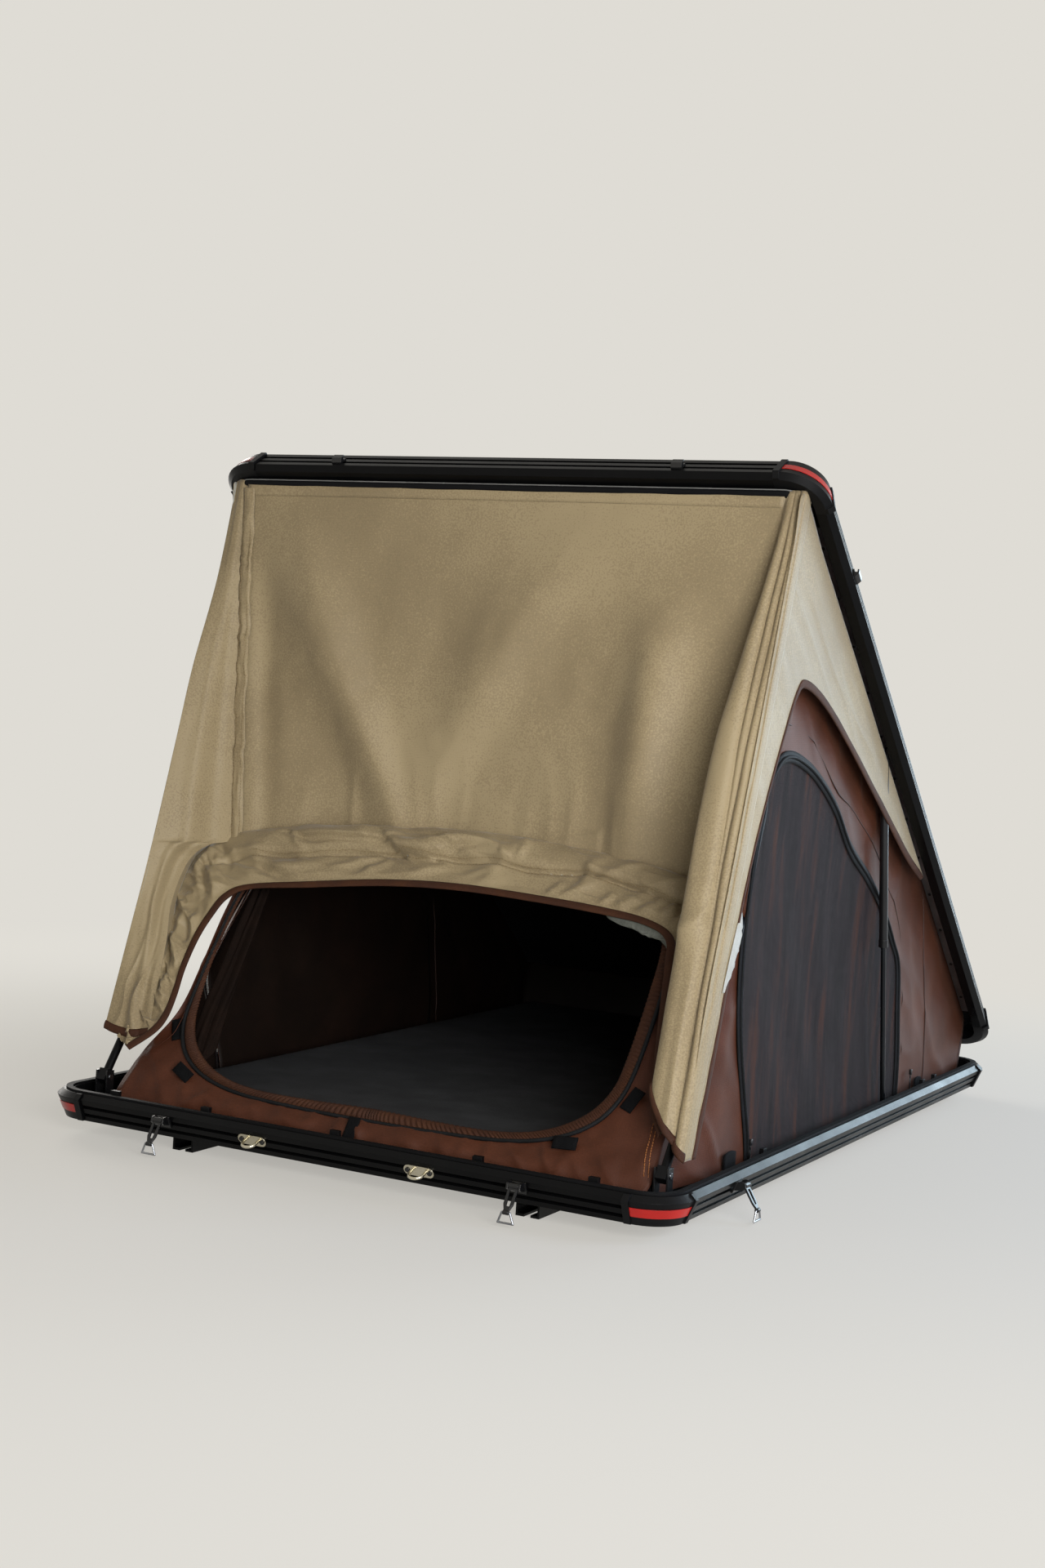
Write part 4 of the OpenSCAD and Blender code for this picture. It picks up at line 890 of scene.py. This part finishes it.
def around(name, u):  # right half, then the left half mirrored
    if u <= 0.5:
        return alongCurve(door[name], u * 2)
    p = alongCurve(door[name + "Left" if name == "wall" else name], (1 - u) * 2)
    return Vector((-p.x, p.y))


def frontWallPoint(u, f):
    a, b = around("edge", u), around("wall", u)
    p = a.lerp(b, f)
    low = 1 - ease((p.y - 0.03) / 0.22)
    held = sin(pi * f)
    t = door["under"] - 0.010 * held * (1 - low) + 0.012 * low * held
    t += held * 0.005 * rumple((p.x * 2, p.y * 2, 1.0), 0.12)
    t += held ** 0.7 * low * (0.007 * crease((p.x, p.y * 0.5 + p.x * 0.2, 4.0), 0.055)
                              + 0.005 * rumple((p.x, p.y, 6.0), 0.035))
    return byHoop(p.x, p.y, t)


obj = makeSheet("tentFrontWall", gridMesh(420, 24, frontWallPoint, True), oxford, hoopOut, "tent_front")
declareSheet(obj, 1.24, 0.60, "stretched", ["hoop_legs", "hoop_crossbar"])


def doorPoint(u, out, along=0.0):
    a, b = around("edge", u), around("wall", u)
    n = (b - a).normalized()
    return byHoop(a.x + n.x * along, a.y + n.y * along, door["under"] + out)


def ruchePoint(u, f):  # gathered elastic band inside the zip
    pull = sin(2 * pi * (door["gathers"] * u + 0.5 * sin(u * 61.0) + 0.3 * sin(u * 143.0)))
    out = 0.002 + 0.0035 * sin(pi * f) + 0.0020 * pull * (0.3 + 0.7 * sin(pi * f))
    return doorPoint(u, out, 0.006 - 0.026 * f + 0.0012 * pull * f)


makeSheet("doorRuchedLip", gridMesh(1700, 6, ruchePoint, True), oneSided(bindingTape, 0.0012, "brown_cloth"), hoopOut)
coil = [doorPoint(i / 400, 0.0040 + 0.0006 * (i % 2), door["zipAt"]) for i in range(400)]
tubeAlong("doorZipCoil", coil, 0.0042, blackWebbing, "brown_cloth", loop=True)

# the door itself, gathered to the left inside its opening
doorRoll = {"keys": [(-0.500, 0.585), (-0.496, 0.470), (-0.490, 0.350), (-0.486, 0.230), (-0.476, 0.130)],
            "inside": -0.050, "thick": 0.022}


def doorRollPoint(u, f):
    c = alongCurve(doorRoll["keys"], f)
    a = 2 * pi * u
    r = doorRoll["thick"] * (0.75 + 0.35 * f) * (1 + 0.30 * sin(3 * a + 2.2 * f) + 0.16 * sin(7 * a - 3 * f)
                                                 + 0.12 * rumple((cos(a), sin(a), f * 4), 0.6))
    r *= 0.35 + 0.65 * min(1, sin(pi * f) * 3 + 0.1)
    return byHoop(c.x + r * cos(a), c.y, doorRoll["inside"] + 0.8 * r * sin(a))


# the rolled door's near-black cloth is painted shade
obj = finishPiece("gatheredDoor", gridMesh(72, 60, doorRollPoint, True), [shadedRolledCloth], "brown_cloth")
editMesh(obj, closeHoles)


def frontWallStitch(t, x):  # topstitched seam down the right of the door
    p = alongCurve([(0.615 + x, 0.028, 0), (0.601 + x, 0.126, 0), (0.592 + x, 0.352, 0)], t)
    high = byHoop(0, p.y, door["under"]).z
    best = min((frontWallPoint(k / 240, g / 24) for k in range(20, 110) for g in range(4, 25)),
               key=lambda q: (q.x - p.x) ** 2 + (q.z - high) ** 2)
    return byHoop(p.x, p.y, (best - byHoop(p.x, p.y, 0)).dot(hoopOut) + 0.0012)


stitchRows("frontWallStitch", frontWallStitch, (0.004, -0.004), 0.33, seamThread, "brown_cloth", 0.008, wide=0.0016)
print("front wall and door made")

# inner tent, side walls with mesh windows
sideWall = {
    "x": 0.6535, "tape": 0.026,
    "window": [
        (-0.515, 0.07), (-0.53, 0.13), (-0.566, 0.223), (-0.602, 0.33), (-0.62, 0.45), (-0.615, 0.62),
        (-0.57, 0.79), (-0.51, 0.868), (-0.44, 0.889), (-0.34, 0.872), (-0.24, 0.835), (-0.13, 0.775),
        (-0.02, 0.688), (0.127, 0.612), (0.25, 0.535), (0.34, 0.455), (0.395, 0.395), (0.42, 0.28), (0.442, 0.17),
        (0.447, 0.07)],
    "outer": [
        (-0.905, 0.062), (-0.905, 0.12), (-0.85, 0.23), (-0.77, 0.34), (-0.69, 0.455), (-0.62, 0.59), (-0.545, 0.8),
        (-0.505, 1.15), (-0.478, 1.42), (-0.36, 1.345), (-0.2, 1.214), (-0.04, 1.083), (0.13, 0.944), (0.3, 0.805),
        (0.46, 0.674), (0.62, 0.543), (0.78, 0.412), (0.9, 0.314), (1.024, 0.214), (0.988, 0.062)],
    "seams": [
        [(-0.47, 0.96), (-0.358, 0.947), (-0.251, 0.901), (-0.131, 0.818), (0.033, 0.76), (0.215, 0.653),
         (0.33, 0.56), (0.428, 0.467), (0.446, 0.382), (0.468, 0.27), (0.49, 0.15), (0.5, 0.066)],
        [(0.56, 0.59), (0.61, 0.43), (0.66, 0.25), (0.69, 0.066)]],
    "most": 0.6565, "patch": 0.6585, "slider": 0.659,
}


def sideDepth(side, y, z):  # how far the wall stands out where it is free to
    x = 0.006 * rumple((y * 2, z * 2, side), 0.25)
    return x + 0.005 * crease((y * 0.8 + z * 0.7, z * 0.3 - y * 0.3, side * 4.0), 0.09) - 0.006


def wallAt(side, y, z):  # on the left the wall is drawn in behind the pulled-back front wall
    if side > 0:
        return sideWall["x"]
    pull = 0.142 - 0.10 * (0.33 - z) - (y + 0.785 - 0.67 * (z - 0.332)) / 1.417
    pull = 0.5 * (pull + sqrt(pull * pull + 0.0003))
    return sideWall["x"] - min(pull, 0.16) * ease((z - 0.10) / 0.12) * (1 - ease((z - 0.52) / 0.15))


def sideWallPoint(side, u, f):
    p = alongCurve(sideWall["window"], u).lerp(alongCurve(sideWall["outer"], u), f)
    x = sideWall["x"] + sin(pi * f) ** 0.6 * sideDepth(side, p.x, p.y)
    turn = ease((f - 0.35) / 0.65) * (1 - ease((u - 0.30) / 0.08))  # towards the corner seam of the front wall
    pull = 0.030 if side > 0 else 0.045 + 0.055 * ease((p.y - 0.12) / 0.12)
    x = min(x, sideWall["most"]) - pull * turn
    return Vector((side * min(x, wallAt(side, p.x, p.y) + 0.003), p.x, p.y))


def windowPoint(side, u, f):  # between the window's two upright edges, then under its top edge
    n = len(sideWall["window"]) - 1
    left = alongCurve(sideWall["window"], f * 6.0 / n)
    right = alongCurve(sideWall["window"], 1 - f * 3.0 / n)
    top = alongCurve(sideWall["window"], (6 + (n - 9) * u) / n)
    ends = [Vector((-0.515, 0.070)), Vector((0.447, 0.070)), alongCurve(sideWall["window"], 6 / n),
            alongCurve(sideWall["window"], (n - 3) / n)]
    p = left.lerp(right, u) + ends[0].lerp(ends[1], u).lerp(top, f)
    p -= ends[0].lerp(ends[1], u).lerp(ends[2].lerp(ends[3], u), f)
    taut = sin(pi * u) * sin(pi * f)
    x = wallAt(side, p.x, p.y) - 0.010 * taut + 0.005 * rumple((p.x * 3 + p.y, p.y, side), 0.3) * taut
    return Vector((side * x, p.x, p.y))


# slider body, link and pull of a zip: size, drop
zipParts = [((0.006, 0.009, 0.013), 0.0), ((0.003, 0.005, 0.010), -0.011), ((0.002, 0.008, 0.026), -0.028)]


def zipSlider(name, side, y, z):
    bm = bmesh.new()
    for size, drop in zipParts:
        at = Vector((side * sideWall["slider"], y, z)) + Vector((side * 0.004, 0, drop))
        made = bmesh.ops.create_cube(bm, size=1.0, matrix=Matrix.Translation(at) @ Matrix.Diagonal((*size, 1)))
        edges = list({e for v in made["verts"] for e in v.link_edges})
        bmesh.ops.bevel(bm, geom=edges, offset=0.0009, offset_type="OFFSET", segments=2, profile=0.5,
                        affect="EDGES", material=-1)
    finishPiece(name, bm, [blackSteel], "black_rail")


tabLook = oneSided(loopTape, 0.0022, "black_rail")


def sewnPatch(name, side, y, z, size):
    def place(u, f):
        a = (u - 0.5) * size[0]
        b = (f - 0.5) * size[1] * (1 - 0.25 * (2 * u - 1) ** 2)
        return Vector((side * sideWall["patch"], y + a, z - b))
    makeSheet(name, gridMesh(8, 6, place), {**tabLook, "offset": 1.0}, Vector((side, 0, 0)))


for side, word in bothSides:
    out = Vector((side, 0, 0))
    obj = makeSheet("tentSideWall_" + word, gridMesh(260, 34, lambda u, f: sideWallPoint(side, u, f)),
                    {**oxford, "offset": 0.0}, out, "tent_" + word)
    declareSheet(obj, 2.0, 0.6, "stretched", ["lid_battens", "hoop_legs"])
    obj = makeSheet("windowMesh_" + word, gridMesh(60, 50, lambda u, f: windowPoint(side, u, f)), netting, out,
                    "mesh_windows" if word == "right" else None)
    declareSheet(obj, 1.0, 0.8, "stretched", ["tentSideWall_" + word])

    def flapPoint(u, f):  # cloth flap closed behind the mesh
        p = windowPoint(side, u, f)
        p.x -= side * (0.009 + 0.004 * rumple((p.y, p.z, 2.0), 0.15))
        return p

    obj = makeSheet("windowFlap_" + word, gridMesh(60, 50, flapPoint), oxford, out)
    declareSheet(obj, 1.0, 0.8, "stretched", ["tentSideWall_" + word])

    def windowTape(u):
        p, q = alongCurve(sideWall["window"], u), alongCurve(sideWall["outer"], u)
        way = (q - p).normalized()
        p = p + way * 0.004
        return Vector((side * (wallAt(side, p.x, p.y) + 0.0028), p.x, p.y)), out, Vector((0, way.x, way.y))

    tapeAlong("windowTape_" + word, windowTape, sideWall["tape"], blackWebbing, "mesh", 220, 0.0030)
    rim = [windowTape(i / 200)[0] + out * 0.0022 for i in range(201)]
    tubeAlong("windowZip_" + word, rim, 0.0036, blackWebbing, "mesh")
    for i, keys in enumerate(sideWall["seams"]):
        line = []
        for k in range(121):
            p = alongCurve(keys, k / 120)
            x = min(sideWall["x"] + sideDepth(side, p.x, p.y), sideWall["most"]) + 0.0014
            line.append(Vector((side * x, p.x, p.y)))
        tubeAlong("sideSeam_%s_%d" % (word, i), line, 0.0016, darkThread, "brown_cloth", 6)
    zipSlider("windowSlider_" + word, side, -0.524, 0.112)
    zipSlider("rearSlider_" + word, side, 0.545, 0.120)
    sewnPatch("sideTab_" + word, side, -0.625, 0.090, (0.060, 0.040))
    sewnPatch("rearTab_" + word, side, 0.620, 0.084, (0.050, 0.030))
print("side walls and windows made")


# upper front wall and rear wall of the inner tent
upperWall = {"half": 0.618, "ridge": 0.697, "drop": 0.20, "inside": -0.012, "reach": 2.045, "high": 0.036,
             "sag": 0.012, "wave": 0.010}
rearWall = {"half": 0.655, "y": 0.986, "z": 0.061, "reach": 0.112, "high": 0.038, "sag": 0.006}


def upperWallPoint(u, f):
    x = (2 * u - 1) * upperWall["half"]
    a = byHoop(x, upperWall["ridge"] - upperWall["drop"] * x * x, upperWall["inside"])
    p = a.lerp(underLid(x, upperWall["reach"], upperWall["high"]), f)
    p.y += upperWall["sag"] * sin(pi * f) + upperWall["wave"] * rumple((x * 2, f * 2, 9.0), 0.4) * sin(pi * f)
    return p


def rearWallPoint(u, f):
    x = (2 * u - 1) * rearWall["half"]
    top = underLid(x, rearWall["reach"], rearWall["high"])
    return Vector((x, rearWall["y"], rearWall["z"])).lerp(top, f) - Vector((0, rearWall["sag"] * sin(pi * f), 0))


innerWalls = [("tentUpperFrontWall", upperWallPoint, "tent_front_upper", (1.24, 0.78), -1, "lid_rail_front"),
              ("tentRearWall", rearWallPoint, "tent_rear", (1.30, 0.15), 1, "lid_rail_rear")]
for name, point, node, size, way, rail in innerWalls:
    obj = makeSheet(name, gridMesh(60, 24, point), oxford, Vector((0, way, 0)), node)
    declareSheet(obj, *size, "stretched", [rail])
print("inner walls made")

# mattress: knitted cover, crowned, soft edges
pad = {"half": 0.622, "front": -0.902, "back": 0.978, "low": 0.058, "high": 0.101}


def padPoint(u, f):
    x, y = (2 * u - 1) * pad["half"], pad["front"] + (pad["back"] - pad["front"]) * f
    edge = min(1 - abs(2 * u - 1), (1 - abs(2 * f - 1)) * 1.5)
    crown = 1 - (1 - min(1, edge * 9)) ** 3
    pull = 0.006 * (1 - crown) * (1 - (2 * u - 1) ** 2)
    sag = 0.0015 * (1 + rumple((x * 2, y * 2, 0), 0.4)) * crown
    z = pad["low"] + 0.020 + (pad["high"] - pad["low"] - 0.020) * crown - sag
    return Vector((x, y + (pull if f < 0.5 else -pull), z))


bm = gridMesh(90, 120, padPoint)
rim = [e for e in bm.edges if e.is_boundary]
grown = bmesh.ops.extrude_edge_only(bm, edges=rim)
for v in [g for g in grown["geom"] if isinstance(g, bmesh.types.BMVert)]:
    v.co.z = pad["low"]
closeHoles(bm)
obj = finishPiece("mattressPad", bm, [knitCover], "mattress_cover")
cloth.remove(obj)  # it keeps its height under the shut lid
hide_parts("mattress")
print("mattress made")

# hook and loop tabs on the front wall: place on the hoop's plane, turn in degrees, size
flatTab, longTab = (0.050, 0.026), (0.026, 0.056)
tabs = [(-0.529, 0.172, 114, flatTab), (-0.461, 0.073, -28, flatTab), (0.540, 0.176, 68, flatTab),
        (0.439, 0.062, 4, flatTab), (-0.021, 0.012, 0, longTab)]
wallPoints = [frontWallPoint(k / 160, g / 12) for k in range(160) for g in range(13)]
for i, (x, s, turn, size) in enumerate(tabs):
    a = radians(turn)
    heights = []
    for q in wallPoints:
        high = (q - byHoop(x, s, 0)).dot(hoopOut)
        if (q - byHoop(x, s, high)).length < 0.034:
            heights.append(high)
    lift = max(heights) + 0.0015

    def tabPoint(u, f):
        du, dv = (u - 0.5) * size[0], (f - 0.5) * size[1]
        return byHoop(x + du * cos(a) - dv * sin(a), s + du * sin(a) + dv * cos(a), lift)

    makeSheet("sewnTab_%d" % i, gridMesh(6, 4, tabPoint), tabLook, hoopOut)
for obj in cloth:
    packsFlat(obj)
print("tabs sewn on")

# floor, backdrop and light
stageLook = {"floor": "#dedbd3", "sky": "#dfdcd5", "fill": "#f6efe6", "fillStrength": 0.13, "fade": (1.2, 3.6),
             "lit": 0.55}


def anyRay(tree, *kinds):
    rays = addNode(tree, "LightPath").outputs
    seen = rays["Is %s Ray" % kinds[0]]
    for kind in kinds[1:]:
        seen = addNode(tree, "Math", {"operation": "MAXIMUM"}, {0: seen, 1: rays["Is %s Ray" % kind]}).outputs[0]
    return seen


def makeStage():
    bm = bmesh.new()
    bmesh.ops.create_grid(bm, x_segments=2, y_segments=2, size=30.0)
    mesh = bpy.data.meshes.new("floor")
    bm.to_mesh(mesh)
    bm.free()
    floor = bpy.data.objects.new("floor", mesh)
    floor.location.z = -0.0005
    scene.collection.objects.link(floor)
    mat = bpy.data.materials.new("paleFloor")
    mat.use_nodes = True
    mat.node_tree.nodes.clear()
    place = addNode(mat, "TexCoord").outputs["Object"]
    far = addNode(mat, "VectorMath", {"operation": "LENGTH"}, {0: place})
    fade = addNode(mat, "MapRange", {"From Min": stageLook["fade"][0], "From Max": stageLook["fade"][1],
                                     "To Min": stageLook["lit"], "interpolation_type": "SMOOTHSTEP"},
                   {"Value": far.outputs["Value"]})
    part = addNode(mat, "Math", {"operation": "MULTIPLY"}, {0: fade.outputs[0], 1: anyRay(mat, "Camera", "Glossy")})
    near = addNode(mat, "BsdfDiffuse", {"Color": linear(stageLook["floor"])})
    glow = addNode(mat, "Emission", {"Color": linear(stageLook["sky"]), "Strength": 1.0})
    both = addNode(mat, "MixShader", None, {0: part.outputs[0], 1: near.outputs[0], 2: glow.outputs[0]})
    addNode(mat, "OutputMaterial", None, {"Surface": both.outputs[0]})
    mesh.materials.append(mat)

    world = bpy.data.worlds.new("studio")
    scene.world = world
    world.use_nodes = True
    world.node_tree.nodes.clear()
    seen = anyRay(world, "Camera", "Transmission", "Glossy")
    soft = addNode(world, "Background", {"Color": linear(stageLook["fill"]), "Strength": stageLook["fillStrength"]})
    back = addNode(world, "Background", {"Color": linear(stageLook["sky"]), "Strength": 1.0})
    both = addNode(world, "MixShader", None, {0: seen, 1: soft.outputs[0], 2: back.outputs[0]})
    addNode(world, "OutputWorld", None, {"Surface": both.outputs[0]})


def areaLight(name, at, aim, size, power, colour):
    lamp = bpy.data.lights.new(name, "AREA")
    lamp.shape, lamp.size, lamp.size_y = "RECTANGLE", size[0], size[1]
    lamp.energy, lamp.color = power, linear(colour)[:3]
    obj = bpy.data.objects.new(name, lamp)
    obj.location = at
    obj.rotation_euler = (Vector(aim) - Vector(at)).to_track_quat("-Z", "Y").to_euler()
    obj.visible_camera = False
    scene.collection.objects.link(obj)


makeStage()
areaLight("windowRight", (4.6, 1.0, 2.1), (0.7, 0.0, 0.7), (2.6, 2.4), 135, "#bfd6ff")
areaLight("windowRear", (2.4, 5.2, 1.5), (0.7, 0.0, 0.5), (3.4, 2.4), 200, "#d4eeff")
areaLight("sideFront", (3.7, -4.2, 1.5), (0, -0.6, 0.9), (2.8, 2.2), 330, "#f4f5f7")
areaLight("softFront", (-2.2, -5.2, 2.2), (0, -0.6, 0.8), (3.0, 2.6), 8, "#fff0dc")
areaLight("softLeft", (-4.4, 2.4, 2.2), (-0.6, 0.2, 0.6), (3.0, 2.6), 190, "#f6f3ee")
scene.view_settings.view_transform = "Standard"
print("stage and lights set")
